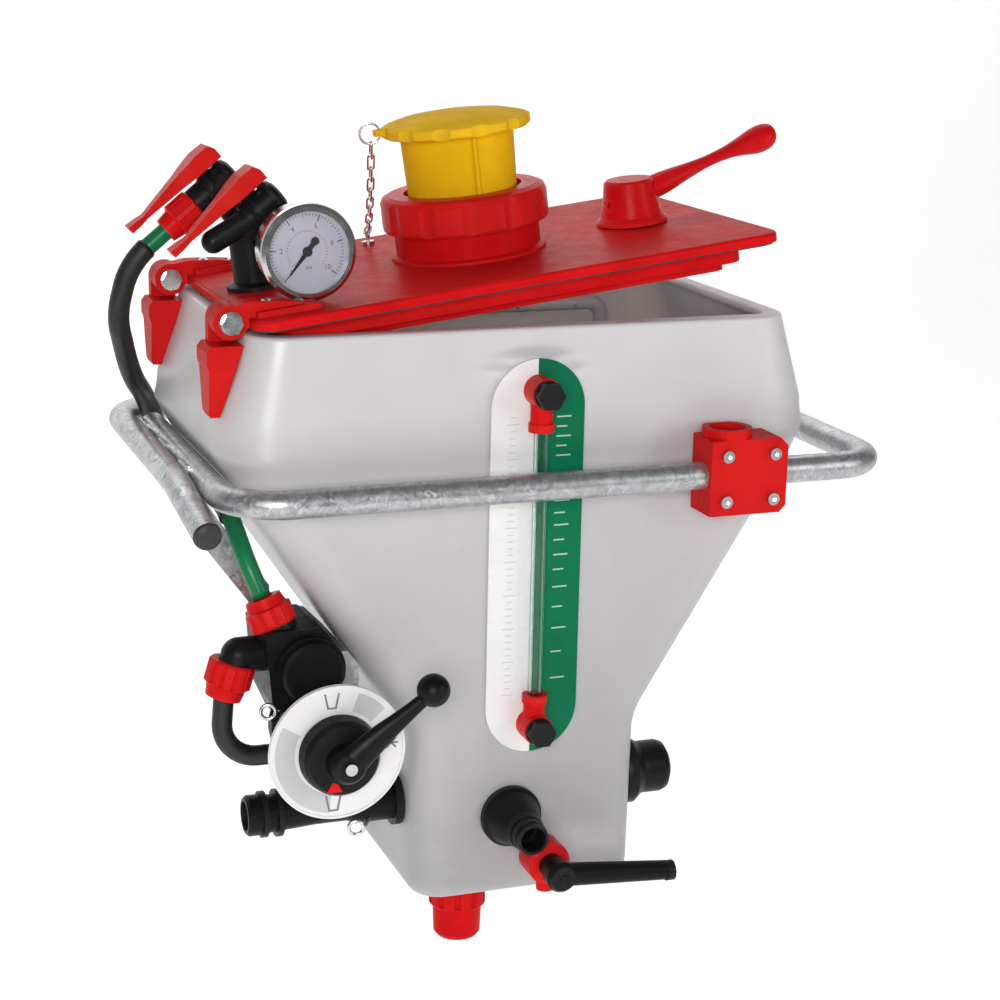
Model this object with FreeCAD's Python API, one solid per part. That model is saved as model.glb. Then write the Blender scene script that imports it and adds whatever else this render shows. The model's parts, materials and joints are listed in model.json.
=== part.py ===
"""Chemical induction hopper for a field sprayer: a moulded hopper carried in a bent tube ring,
with a hinged lid, a sight gauge, a selector valve with its injector pipe, and ball valves.

Millimetres, +Z up, +X to the right and +Y to the back as seen from the front.
Everything is drawn about the hopper's own centre line, with z = 0 near the belt, and save()
moves it so that the origin lies on the axis of the ring's straight front tube.
Parts of the lid are drawn with the lid shut and are then turned about the hinge to the angle
at which the lid rests, a little open.
"""
import FreeCAD, Part
import math
import os

from FreeCAD import Vector as V

os.makedirs("parts", exist_ok=True)

# Driving dimensions -------------------------------------------------------------------------

# hopper
RIM_Z = 110.0
RIM_HALF_X = 202.0
RIM_HALF_Y = 128.0
RIM_CORNER = 28.0
BELT_Z = 27.0
BELT_HALF_X = 228.0
BELT_HALF_Y = 137.0
BELT_CORNER = 42.0
BELT_ROUND = 20.0
KINK_Z = -185.0
SUMP_HALF_X = 88.0
SUMP_FRONT_Y = -138.0
SUMP_BACK_Y = 60.0
SUMP_CORNER = 22.0
FLOOR_Z = -313.0
WALL = 5.0
MOUTH_HALF_X = 186.0
MOUTH_HALF_Y = 112.0

# carrier ring
TUBE_R = 10.0
TUBE_WALL = 1.6
RING_Z = 4.0
RAIL_Y = -163.0
RING_RIGHT_X = 262.0
RING_LEFT_X = -226.0
RING_BACK_Y = 158.0
HEAD_END_Y = 100.0
TAIL_X = -246.1
TAIL_Z = 5.5
TAIL_BEND_Y = -82.0
BEND_R = 42.0

# lid and hinge
HINGE_X = -212.0
HINGE_Z = 118.0
LID_REST_DEG = 7.4
LID_LEFT_X = -199.0
LID_RIGHT_X = 194.0
LID_HALF_Y = 127.0
LID_TOP = 119.0
LID_UNDER = 112.0
HINGE_Y = (-97.0, 98.0)
EYE_R = 12.0
EYE_HALF = 8.0
BOLT_R = 4.0
FIT = 0.05

# filler opening in the lid
FILLER_X = -3.0
NECK_R = 55.0
NECK_BORE = 44.0
NECK_TOP = 160.5
NUT_R = 62.0
NUT_LOW = 140.5
NUT_TOP = 166.8
CAP_R = 42.0
CAP_FLANGE_R = 55.0
CAP_UNDER = 209.0
CAP_TOP = 217.5

# lid latch
LATCH_X = 130.0
SPINDLE_R = 5.0

# valves on the lid: flow and stem directions with the lid shut
VALVE_TILT = math.radians(32.5)
FLOW = V(-math.cos(VALVE_TILT), 0, -math.sin(VALVE_TILT))
STEM = V(-math.sin(VALVE_TILT), 0, math.cos(VALVE_TILT))
BALL_A = V(-172, 45, 192)
BALL_B = V(-157, -25, 182)
STEM_TOP = 12.0
LEVER_LENGTH = 75.0
RISER = V(-167.5, 2, 0)
RISER_PORT = V(-161, 2, 0)

# pressure gauge
GAUGE_X = -148.0
GAUGE_Z = 154.0
GAUGE_R = 34.0
GAUGE_FACE_Y = -92.0

# sight gauge
SIGHT_X = -1.0
SIGHT_HALF = 35.0
SIGHT_LOW = -166.0
SIGHT_HIGH = 55.0
SIGHT_TUBE_X = -1.6
SIGHT_TUBE_Y = -147.6
SIGHT_PORTS = (68.0, -179.0)

# selector valve and injector
SELECTOR_X = -158.0
SELECTOR_Z = -170.0
PLATE_Y = -178.0
PLATE_R = 48.5
MANIFOLD_Y = -100.0
STRUT_Y = -62.5
INJECTOR_Y = -95.0
INJECTOR_Z = -245.0
HOSE_R = 7.5

# outlets
OUTLET_X = -15.0
OUTLET_Z = -250.0
OUTLET_END_Y = -187.0
COCK_X = 2.0
COCK_Z = -275.0
SIDE_PORT_END_X = 134.0
DRAIN_X = -26.0
DRAIN_Y = -56.0

X = V(1, 0, 0)
Y = V(0, 1, 0)
Z = V(0, 0, 1)


# Helpers ------------------------------------------------------------------------------------


def cyl(radius, start, end):
    """Round bar from one point to another."""
    axis = end - start
    return Part.makeCylinder(radius, axis.Length, start, axis)


def ring(outer, inner, start, end):
    return cyl(outer, start, end).cut(cyl(inner, start, end))


def box(x0, x1, y0, y1, z0, z1):
    return Part.makeBox(x1 - x0, y1 - y0, z1 - z0, V(x0, y0, z0))


def fuse(shapes):
    return shapes[0].multiFuse(shapes[1:]).removeSplitter()


def cut(shape, tools):
    for tool in tools:
        shape = shape.cut(tool)
    return shape


def group(shapes):
    return Part.makeCompound(shapes)


def turned(profile, start, axis):
    """Solid of revolution: profile holds (distance along the axis, radius) pairs."""
    axis = V(axis).normalize()
    side = axis.cross(Z if abs(axis.z) < 0.9 else X).normalize()
    points = [start + axis * along + side * radius for along, radius in profile]
    first = start + axis * profile[0][0]
    last = start + axis * profile[-1][0]
    outline = [first] + points + [last, first]
    clean = [outline[0]]
    for point in outline[1:]:
        if (point - clean[-1]).Length > 1e-6:
            clean.append(point)
    if (clean[-1] - clean[0]).Length > 1e-6:
        clean.append(clean[0])
    return Part.Face(Part.makePolygon(clean)).revolve(start, axis, 360)


def plate_xz(outline, y0, y1):
    """Plate with an outline in the XZ plane, reaching from y0 to y1."""
    points = [V(x, y0, z) for x, z in outline]
    return Part.Face(Part.makePolygon(points + points[:1])).extrude(V(0, y1 - y0, 0))


def hexagon(flats, start, end):
    """Hexagonal bar, measured across its flats."""
    axis = end - start
    side = axis.cross(Z if abs(axis.z) < 0.9 * axis.Length else X).normalize()
    other = axis.cross(side).normalize()
    corner = flats / math.sqrt(3)
    points = []
    for step in range(6):
        turn = math.radians(60 * step)
        points.append(start + side * corner * math.cos(turn) + other * corner * math.sin(turn))
    return Part.Face(Part.makePolygon(points + points[:1])).extrude(axis)


def rounded_rect(x0, x1, y0, y1, corner, z):
    """Closed wire: a rectangle with round corners in a level plane."""
    edges = []
    centres = [(x1 - corner, y1 - corner, 0), (x0 + corner, y1 - corner, 90)]
    centres += [(x0 + corner, y0 + corner, 180), (x1 - corner, y0 + corner, 270)]
    arcs = []
    for cx, cy, begin in centres:
        arc = Part.Circle(V(cx, cy, z), Z, corner)
        arcs.append(arc.toShape(math.radians(begin), math.radians(begin + 90)))
    for number, arc in enumerate(arcs):
        following = arcs[(number + 1) % 4]
        edges.append(arc)
        edges.append(Part.makeLine(arc.Vertexes[-1].Point, following.Vertexes[0].Point))
    return Part.Wire(edges)


def slab(x0, x1, y0, y1, corner, z0, z1):
    return Part.Face(rounded_rect(x0, x1, y0, y1, corner, z0)).extrude(V(0, 0, z1 - z0))


def frame_slab(x0, x1, y0, y1, corner, width, z0, z1):
    """Upright wall of one width, standing on a rounded rectangle."""
    bend = max(corner - width, 2)
    inner = slab(x0 + width, x1 - width, y0 + width, y1 - width, bend, z0, z1)
    return slab(x0, x1, y0, y1, corner, z0, z1).cut(inner)


def path(points, radii):
    """Wire of straight runs joined by tangent arcs, one radius for each inner point."""
    edges = []
    here = points[0]
    for number, radius in enumerate(radii):
        corner = points[number + 1]
        into = (corner - points[number]).normalize()
        out = (points[number + 2] - corner).normalize()
        half = into.getAngle(out) / 2
        setback = radius * math.tan(half)
        first = corner - into * setback
        last = corner + out * setback
        to_centre = (out - into).normalize()
        middle = corner + to_centre * (radius / math.cos(half) - radius)
        edges.append(Part.LineSegment(here, first).toShape())
        edges.append(Part.Arc(first, middle, last).toShape())
        here = last
    edges.append(Part.LineSegment(here, points[-1]).toShape())
    return Part.Wire(edges)


def sweep(wire, radius):
    """Round bar along a path."""
    start = wire.Edges[0].Vertexes[0].Point
    direction = wire.Edges[0].tangentAt(wire.Edges[0].FirstParameter)
    circle = Part.Wire(Part.makeCircle(radius, start, direction))
    return wire.makePipeShell([circle], True, True)


def hose(points, radii, outer, inner):
    wire = path(points, radii)
    return sweep(wire, outer).cut(sweep(wire, inner))


def on_lid(shape):
    """Turn a shape from the shut lid to the lid's rest angle."""
    opened = shape.copy()
    opened.rotate(V(HINGE_X, 0, HINGE_Z), V(0, -1, 0), LID_REST_DEG)
    return opened


def save(name, shape):
    moved = shape.copy()
    moved.translate(V(0, -RAIL_Y, -RING_Z))
    if not moved.isValid():
        print("not valid:", name)
    moved.exportStep("parts/%s.step" % name)


# Hopper -------------------------------------------------------------------------------------


def lerp(a, b, t):
    return a + (b - a) * t


def hopper_sections(inset):
    """Level sections from the rim to the floor: (z, half width, front y, back y, corner)."""
    upper = (RIM_HALF_X - BELT_HALF_X) / (RIM_Z - BELT_Z)
    lower = (BELT_HALF_X - SUMP_HALF_X) / (BELT_Z - KINK_Z)
    back_lower = (BELT_HALF_Y - SUMP_BACK_Y) / (BELT_Z - KINK_Z)
    sections = []
    top = RIM_Z if inset == 0 else RIM_Z - WALL
    rise = (top - BELT_Z) / (RIM_Z - BELT_Z)
    rim_x = lerp(BELT_HALF_X, RIM_HALF_X, rise)
    rim_y = lerp(BELT_HALF_Y, RIM_HALF_Y, rise)
    sections.append((top, rim_x, -rim_y, rim_y, RIM_CORNER))
    for step in range(5):
        t = step / 4
        above = BELT_Z + BELT_ROUND
        below = BELT_Z - BELT_ROUND
        z = (1 - t) ** 2 * above + 2 * t * (1 - t) * BELT_Z + t**2 * below
        start_x = BELT_HALF_X + upper * BELT_ROUND
        end_x = BELT_HALF_X - lower * BELT_ROUND
        half_x = (1 - t) ** 2 * start_x + 2 * t * (1 - t) * BELT_HALF_X + t**2 * end_x
        start_y = lerp(BELT_HALF_Y, RIM_HALF_Y, BELT_ROUND / (RIM_Z - BELT_Z))
        end_y = BELT_HALF_Y - back_lower * BELT_ROUND
        back = (1 - t) ** 2 * start_y + 2 * t * (1 - t) * BELT_HALF_Y + t**2 * end_y
        front = (1 - t) ** 2 * start_y + (1 - (1 - t) ** 2) * -SUMP_FRONT_Y
        sections.append((z, half_x, -front, back, BELT_CORNER))
    sections.append((KINK_Z, SUMP_HALF_X, SUMP_FRONT_Y, SUMP_BACK_Y, SUMP_CORNER))
    floor = FLOOR_Z if inset == 0 else FLOOR_Z + WALL
    heel = 10.0
    for step in range(4):
        turn = math.radians(30 * step)
        shrink = heel * (1 - math.cos(turn))
        z = floor + heel * (1 - math.sin(turn))
        half_x = SUMP_HALF_X - 1 - shrink
        front = SUMP_FRONT_Y + shrink
        sections.append((z, half_x, front, SUMP_BACK_Y - shrink, SUMP_CORNER - 0.4 * shrink))
    wires = []
    for z, half_x, front, back, corner in sections:
        x = half_x - inset
        wires.append(rounded_rect(-x, x, front + inset, back - inset, corner - inset, z))
    return wires


def hopper_solid(inset):
    return Part.makeLoft(hopper_sections(inset), True, True)


def hopper_shell():
    """Moulded hopper: turned-in rim, flared top, belt, funnel and sump, all one wall thick."""
    pad = box(SIGHT_X - 39, SIGHT_X + 39, SUMP_FRONT_Y, -118, BELT_Z - 12, SIGHT_HIGH)
    crown = cyl(39, V(SIGHT_X, SUMP_FRONT_Y, SIGHT_HIGH), V(SIGHT_X, -118, SIGHT_HIGH))
    outer = fuse([hopper_solid(0), pad, crown])
    mouth = slab(-MOUTH_HALF_X, MOUTH_HALF_X, -MOUTH_HALF_Y, MOUTH_HALF_Y, 14, 100, RIM_Z + 1)
    holes = [hopper_solid(WALL), mouth]
    for z in SIGHT_PORTS:
        holes.append(cyl(5.2, V(SIGHT_TUBE_X, -150, z), V(SIGHT_TUBE_X, -100, z)))
    holes.append(cyl(10, V(OUTLET_X, -150, OUTLET_Z), V(OUTLET_X, -120, OUTLET_Z)))
    holes.append(cyl(17, V(70, INJECTOR_Y, INJECTOR_Z + 2), V(100, INJECTOR_Y, INJECTOR_Z + 2)))
    holes.append(cyl(9, V(-100, INJECTOR_Y, INJECTOR_Z), V(-70, INJECTOR_Y, INJECTOR_Z)))
    holes.append(cyl(15, V(DRAIN_X, DRAIN_Y, FLOOR_Z - 2), V(DRAIN_X, DRAIN_Y, FLOOR_Z + 12)))
    return cut(outer, holes)


def wall_x(z):
    """Half width of the hopper's outside at a height above the kink."""
    if z > BELT_Z:
        return lerp(BELT_HALF_X, RIM_HALF_X, (z - BELT_Z) / (RIM_Z - BELT_Z))
    return lerp(BELT_HALF_X, SUMP_HALF_X, (BELT_Z - z) / (BELT_Z - KINK_Z))


def strainer():
    """Perforated disc over the drain."""
    disc = cyl(38, V(DRAIN_X, DRAIN_Y, FLOOR_Z + 16), V(DRAIN_X, DRAIN_Y, FLOOR_Z + 18))
    skirt = ring(38, 35.5, V(DRAIN_X, DRAIN_Y, FLOOR_Z + WALL), V(DRAIN_X, DRAIN_Y, FLOOR_Z + 16))
    holes = []
    for radius, count in ((10, 6), (19, 12), (28, 18)):
        for step in range(count):
            turn = 2 * math.pi * step / count
            spot = V(DRAIN_X + radius * math.cos(turn), DRAIN_Y + radius * math.sin(turn), 0)
            holes.append(cyl(2.5, spot + Z * (FLOOR_Z + 15), spot + Z * (FLOOR_Z + 19)))
    return fuse([disc, skirt]).cut(group(holes))


def rinse_pipe():
    """Flushing pipe along the inside of the back wall, with its spray holes and one feed elbow."""
    y = 110.0
    z = 84.0
    points = [V(-140, y, z), V(150, y, z), V(150, y, z - 26)]
    body = sweep(path(points, [12]), 6)
    feed = cyl(6, V(-100, y, z), V(-100, 124, z))
    jets = [cyl(1.5, V(x, y - 8, z - 3), V(x, y, z)) for x in range(-125, 126, 50)]
    nozzle = turned([(0, 8), (8, 10), (14, 10), (18, 6)], V(150, y, z - 26), V(0, 0, -1))
    return fuse([body, feed, nozzle]).cut(group(jets))


# Carrier ring -------------------------------------------------------------------------------


TAIL_END = V(TAIL_X + 4.3, -156, -15)
HEAD_END = V(RING_LEFT_X, HEAD_END_Y, RING_Z)


def ring_points():
    """The bent tube overlaps itself along the left side, where its tail dips at the front."""
    return [
        TAIL_END,
        V(TAIL_X - 0.5, TAIL_BEND_Y, TAIL_Z - 1),
        V(TAIL_X, RING_BACK_Y, TAIL_Z),
        V(RING_RIGHT_X, RING_BACK_Y, RING_Z),
        V(RING_RIGHT_X, RAIL_Y, RING_Z),
        V(RING_LEFT_X, RAIL_Y, RING_Z),
        HEAD_END,
    ]


def carrier_ring():
    wire = path(ring_points(), [60, BEND_R, BEND_R, BEND_R - 6, BEND_R])
    tube = sweep(wire, TUBE_R).cut(sweep(wire, TUBE_R - TUBE_WALL))
    beads = []
    seam_x = (RING_LEFT_X + TAIL_X) / 2
    seam_z = (RING_Z + TAIL_Z) / 2
    for y in (-70, 0, 70):
        for side in (-1, 1):
            spot = V(seam_x, y, seam_z + side * 5)
            beads.append(cyl(2.6, spot, spot + V(0, 22, 0)))
    return fuse([tube] + beads)


def ring_plugs():
    """Round plastic plugs in the two open tube ends."""
    inner = TUBE_R - TUBE_WALL - 0.1
    profile = [(-18, inner - 0.5), (-16, inner), (0, inner), (0, TUBE_R), (3, TUBE_R - 0.6)]
    profile.append((4.5, TUBE_R - 3))
    points = ring_points()
    tail = turned(profile, TAIL_END, points[0] - points[1])
    head = turned(profile, HEAD_END, Y)
    return group([tail, head])


def ring_brackets():
    """Flat straps that tie the hopper to the ring at the back and at the right."""
    straps = []
    top = RING_Z + TUBE_R + 0.3
    belt = BELT_HALF_Y + 1.2
    for x in (-95, 95):
        lift = 3 * (RING_RIGHT_X - x) / (RING_RIGHT_X - TAIL_X)
        tongue = box(x - 12, x + 12, belt, RING_BACK_Y + 4, top + lift, top + lift + 4)
        foot = box(x - 12, x + 12, belt, belt + 4, top + lift, 46)
        straps.append(fuse([tongue, foot]))
    x = BELT_HALF_X + 1.2
    outline = [(x, top), (RING_RIGHT_X + 4, top), (RING_RIGHT_X + 4, top + 4), (x + 4, top + 4)]
    outline += [(x + 4, BELT_Z + 1), (x - 1, 46), (x - 5, 45), (x, BELT_Z)]
    straps.append(plate_xz(outline, 90, 114))
    return group(straps)


def manifold_strut():
    """Flat steel bar that hangs the valve manifold from the left side of the ring, with the
    block that is screwed to the manifold's upper right corner."""
    outline = [(-246, -6.4), (-228, -6.4), (-212, -32), (-176, -82), (-176, -112), (-191, -112)]
    outline += [(-191, -94), (-229, -42)]
    bar = plate_xz(outline, STRUT_Y, STRUT_Y + 4)
    block = plate_xz([(-139.9, -117), (-134.5, -117), (-126, -131), (-126, -142.9), (-139.9, -142.9)],
                     -122, STRUT_Y)
    foot = plate_xz([(-191, -112), (-176, -101), (-150, -101), (-134.5, -117), (-126, -131)]
                    + [(-126, -142.9), (-191, -142.9)], STRUT_Y, STRUT_Y + 4)
    return fuse([bar, block, foot])


# Clamp on the front rail --------------------------------------------------------------------

CLAMP_X = 147.0
CLAMP_HALF = 30.0
CLAMP_FRONT_Y = -177.0
CLAMP_BACK_Y = -145.0
SOCKET_X = 136.0
SOCKET_Y = -160.0
SOCKET_R = 13.0
SOCKET_FLOOR = 26.5
SOCKET_TOP = 38.0
SCREW_DX = 18.5
SCREW_DZ = 16.5


def clamp_block(y0, y1):
    """Half of the block, with its part of the tube groove and of the locating socket."""
    low = RING_Z - 27.5
    high = RING_Z + 27.5
    left = CLAMP_X - CLAMP_HALF
    right = CLAMP_X + CLAMP_HALF
    body = plate_xz(
        [(left, low), (right - 5, low), (right, low + 5), (right, high - 6), (right - 6, high),
         (left, high)], y0, y1)
    collar = cyl(18, V(SOCKET_X, SOCKET_Y, high - 6), V(SOCKET_X, SOCKET_Y, SOCKET_TOP))
    collar = collar.common(box(left - 8, right, y0, y1, low, SOCKET_TOP + 1))
    holes = [cyl(TUBE_R + 0.05, V(left - 20, RAIL_Y, RING_Z), V(right + 20, RAIL_Y, RING_Z))]
    holes.append(cyl(SOCKET_R, V(SOCKET_X, SOCKET_Y, SOCKET_FLOOR), V(SOCKET_X, SOCKET_Y, 60)))
    for dx in (-SCREW_DX, SCREW_DX):
        for dz in (-SCREW_DZ, SCREW_DZ):
            spot = V(CLAMP_X + dx, 0, RING_Z + dz)
            holes.append(cyl(2.6, spot + Y * -190, spot + Y * -140))
    return cut(fuse([body, collar]), holes)


def clamp_screws():
    screws = []
    for dx in (-SCREW_DX, SCREW_DX):
        for dz in (-SCREW_DZ, SCREW_DZ):
            spot = V(CLAMP_X + dx, 0, RING_Z + dz)
            shank = cyl(2.5, spot + Y * CLAMP_FRONT_Y, spot + Y * -141)
            head = cyl(4.4, spot + Y * (CLAMP_FRONT_Y - 4), spot + Y * CLAMP_FRONT_Y)
            key = hexagon(4, spot + Y * (CLAMP_FRONT_Y - 5), spot + Y * (CLAMP_FRONT_Y - 2))
            screws.append(fuse([shank, head]).cut(key))
    return screws


def clamp_nuts():
    nuts = []
    for dx in (-SCREW_DX, SCREW_DX):
        for dz in (-SCREW_DZ, SCREW_DZ):
            spot = V(CLAMP_X + dx, 0, RING_Z + dz)
            nut = hexagon(8, spot + Y * CLAMP_BACK_Y, spot + Y * (CLAMP_BACK_Y + 4))
            nuts.append(nut.cut(cyl(2.55, spot + Y * -150, spot + Y * -140)))
    return nuts


# Lid ----------------------------------------------------------------------------------------

BLADE_LOW = 86.0


def lid_panel():
    """Flat lid with a stepped plug below it, which drops into the hopper's mouth."""
    top = slab(LID_LEFT_X, LID_RIGHT_X, -LID_HALF_Y, LID_HALF_Y, 16, LID_UNDER, LID_TOP)
    rim = [edge for edge in top.Edges if edge.BoundBox.ZMin > LID_TOP - 0.01]
    top = top.makeFillet(2.5, rim)
    plug = frame_slab(-180, 171.5, -108, 108, 14, 4, 98.5, LID_UNDER)
    ledge = frame_slab(-176.5, 168, -104.5, 104.5, 12, 14, 98.5, 101.5)
    lip = frame_slab(-170, 161.5, -98, 98, 12, 4, 92.3, 101.5)
    body = fuse([top, plug, ledge, lip])
    holes = [cyl(NECK_R + 0.1, V(FILLER_X, 0, 80), V(FILLER_X, 0, 130))]
    holes.append(cyl(11.1, V(LATCH_X, 0, 80), V(LATCH_X, 0, 130)))
    holes.append(box(145, 180, -24, 70, 80, LID_UNDER))
    holes.append(cyl(8.8, RISER_PORT + Z * 80, RISER_PORT + Z * 130))
    for x, y in arm_screw_spots():
        holes.append(cyl(2.6, V(x, y, 80), V(x, y, 130)))
    return cut(body, holes)


def lid_seal():
    """Flat rubber gasket glued under the edge of the lid."""
    return frame_slab(-197, 192, -124, 124, 14, 9, 110.4, LID_UNDER)


def arm_screw_spots():
    return [(x, y) for y in HINGE_Y for x in (-184, -162)]


def screw_seat(x):
    """Height of the seat under an arm screw's head."""
    return 122.4 if x > -170 else 126.0


def lid_arms():
    """Two ribs that carry the hinge eyes to the left of the lid."""
    arms = []
    for y in HINGE_Y:
        outline = [(HINGE_X, 112.3), (-199.2, 112.3), (-199.2, LID_TOP), (-148, LID_TOP)]
        outline += [(-148, 121.5), (-174, 127), (-196, 130), (HINGE_X, 129)]
        web = plate_xz(outline, y - EYE_HALF, y + EYE_HALF)
        foot = box(-194, -150, y - 15, y + 15, LID_TOP, LID_TOP + 4)
        eye = cyl(EYE_R, V(HINGE_X, y - EYE_HALF, HINGE_Z), V(HINGE_X, y + EYE_HALF, HINGE_Z))
        arm = fuse([web, foot, eye])
        holes = [cyl(BOLT_R + FIT, V(HINGE_X, y - 20, HINGE_Z), V(HINGE_X, y + 20, HINGE_Z))]
        holes.append(cyl(GAUGE_R + 0.8, gauge_axis(GAUGE_FACE_Y - 1), gauge_axis(-50)))
        for sx, sy in arm_screw_spots():
            holes.append(cyl(2.6, V(sx, sy, 100), V(sx, sy, 140)))
            holes.append(cyl(5, V(sx, sy, screw_seat(sx)), V(sx, sy, 140)))
        arms.append(cut(arm, holes))
    return group(arms)


def arm_screws():
    screws = []
    for x, y in arm_screw_spots():
        height = screw_seat(x)
        shank = cyl(2.5, V(x, y, 111), V(x, y, height))
        head = turned([(0, 4.6), (1.5, 4.4), (3, 2.5)], V(x, y, height), Z)
        screws.append(fuse([shank, head]))
    return group(screws)


def hinge_brackets():
    """Tapered brackets on the left wall: each has one ear behind the lid's hinge eye."""
    brackets = []
    for y in HINGE_Y:
        gap = 0.3
        outline = [(-wall_x(103) - gap, 103), (-227, 103), (-230, 99), (-230, 90), (-228.5, 86)]
        outline += [(-228, 56), (-226.5, 53), (-wall_x(53) - gap, 53)]
        body = plate_xz(outline, y - 13, y + 18)
        taper = [(y - 13, 104), (y - 13, 86), (y - 7, 53), (y - 7, 40), (y - 40, 40), (y - 40, 104)]
        trims = []
        for side in (0, 1):
            flip = [(py if side == 0 else 2 * y + 5 - py, pz) for py, pz in taper]
            corners = [V(-260, py, pz) for py, pz in flip]
            trims.append(Part.Face(Part.makePolygon(corners + corners[:1])).extrude(V(80, 0, 0)))
        near = y + EYE_HALF + 0.5
        far = near + 9
        ear = fuse([
            cyl(12, V(HINGE_X, near, HINGE_Z), V(HINGE_X, far, HINGE_Z)),
            box(HINGE_X - 12, HINGE_X + 6.5, near, far, 100, HINGE_Z),
        ])
        solid = cut(fuse([cut(body, trims), ear]), [
            cyl(BOLT_R, V(HINGE_X, y - 30, HINGE_Z), V(HINGE_X, y + 30, HINGE_Z))])
        brackets.append(solid)
    return group(brackets)


def hinge_bolts():
    bolts = []
    for y in HINGE_Y:
        face = y - EYE_HALF - 2.2
        shank = cyl(BOLT_R, V(HINGE_X, face, HINGE_Z), V(HINGE_X, y + 28, HINGE_Z))
        head = hexagon(13, V(HINGE_X, face - 5, HINGE_Z), V(HINGE_X, face, HINGE_Z))
        bolts.append(fuse([shank, head]))
    return bolts


def hinge_washers():
    washers = []
    for y in HINGE_Y:
        near = y - EYE_HALF
        spots = ((near - 2.2, near - 0.5), (y + EYE_HALF + 9.5, y + EYE_HALF + 11))
        for y0, y1 in spots:
            washers.append(ring(8, BOLT_R, V(HINGE_X, y0, HINGE_Z), V(HINGE_X, y1, HINGE_Z)))
    return washers


def hinge_nuts():
    nuts = []
    for y in HINGE_Y:
        y0 = y + EYE_HALF + 11
        nut = hexagon(13, V(HINGE_X, y0, HINGE_Z), V(HINGE_X, y0 + 6.5, HINGE_Z))
        nuts.append(nut.cut(cyl(BOLT_R, V(HINGE_X, y0 - 2, HINGE_Z), V(HINGE_X, y0 + 9, HINGE_Z))))
    return nuts


# Filler opening -----------------------------------------------------------------------------


def filler(profile):
    """Turned part on the filler's axis: profile holds (height, radius) pairs."""
    return turned(profile, V(FILLER_X, 0, 0), Z)


def filler_neck():
    """Threaded neck through the lid, with a ledge on which the cap stands."""
    body = filler([(104, NECK_R), (LID_TOP, NECK_R), (LID_TOP, 58), (121, 58), (122.5, 54)]
                  + [(NECK_TOP, 54)])
    bore = cyl(NECK_BORE, V(FILLER_X, 0, 126), V(FILLER_X, 0, 172))
    throat = cyl(37, V(FILLER_X, 0, 100), V(FILLER_X, 0, 130))
    threads = [filler([(z, 53.5), (z + 1.2, 54.8), (z + 2.2, 54.8), (z + 3.4, 53.5)])
               for z in (142.5, 147.5, 152.5)]
    return cut(fuse([body] + threads), [bore, throat])


def ring_nut():
    """Large union nut: shallow grips round its side and a lip over the neck."""
    body = filler([(NUT_LOW, NUT_R - 1.5), (NUT_LOW + 2, NUT_R), (NUT_TOP - 6, NUT_R)]
                  + [(NUT_TOP - 2, NUT_R - 1.8), (NUT_TOP, NUT_R - 6)])
    inside = cyl(NECK_R + 0.5, V(FILLER_X, 0, NUT_LOW - 1), V(FILLER_X, 0, NECK_TOP + 2.2))
    hole = cyl(CAP_R + 2, V(FILLER_X, 0, NUT_LOW), V(FILLER_X, 0, NUT_TOP + 1))
    grips = []
    count = 12
    for step in range(count):
        turn = 2 * math.pi * (step + 0.5) / count
        spot = V(FILLER_X + (NUT_R + 17.5) * math.cos(turn), (NUT_R + 17.5) * math.sin(turn), 0)
        grips.append(cyl(19, spot + Z * (NUT_LOW - 1), spot + Z * (NUT_TOP + 1)))
    return cut(body, [inside, hole, group(grips)])


def filler_cap():
    """Yellow plug: a hollow body with one rib and a wide scalloped top."""
    body = filler([(126.4, CAP_R - 3), (150, CAP_R - 2), (CAP_UNDER, CAP_R)])
    hollow = filler([(120, CAP_R - 6), (CAP_UNDER - 1, CAP_R - 4)])
    brim = filler([(CAP_UNDER, CAP_FLANGE_R - 2), (CAP_UNDER + 1.5, CAP_FLANGE_R)]
                  + [(CAP_TOP - 1.5, CAP_FLANGE_R), (CAP_TOP, CAP_FLANGE_R - 3)]
                  + [(CAP_TOP + 3, CAP_FLANGE_R - 14), (CAP_TOP + 5.5, 22), (CAP_TOP + 6.3, 5)])
    bites = []
    count = 12
    for step in range(count):
        turn = 2 * math.pi * step / count
        reach = CAP_FLANGE_R + 9.4
        spot = V(FILLER_X + reach * math.cos(turn), reach * math.sin(turn), 0)
        bites.append(cyl(12, spot + Z * (CAP_UNDER - 1), spot + Z * (CAP_TOP + 1)))
    rib_turn = math.radians(-92)
    rib_at = V(FILLER_X + CAP_R * math.cos(rib_turn), CAP_R * math.sin(rib_turn), 0)
    rib = cyl(2, rib_at + Z * 166, rib_at + Z * CAP_UNDER)
    lug = box(FILLER_X - CAP_FLANGE_R - 5, FILLER_X - 40, 5, 13, CAP_UNDER + 3, CAP_TOP - 1)
    eyelet = V(FILLER_X - CAP_FLANGE_R - 0.5, 9, 0)
    solid = cut(fuse([body, brim.cut(group(bites)), rib, lug]), [hollow])
    return solid.cut(cyl(1.8, eyelet + Z * 200, eyelet + Z * 220))


def filler_seal():
    return ring(53.8, NECK_BORE + 0.6, V(FILLER_X, 0, NECK_TOP), V(FILLER_X, 0, NECK_TOP + 1.7))


RING_CENTRE = V(FILLER_X - CAP_FLANGE_R - 7.8, 10.8, 214.3)
CHAIN_TOP = V(-65.7, 11.2, 207.2)
CHAIN_END = V(-53.3, 93.2, 128.2)
CHAIN_SAG = 7.0
LINK_COUNT = 10


def cap_ring():
    """Split ring through the lug of the cap, in a plane across the lug."""
    return Part.makeTorus(7.5, 0.9, RING_CENTRE, V(0.25, 1, 0.1))


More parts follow.
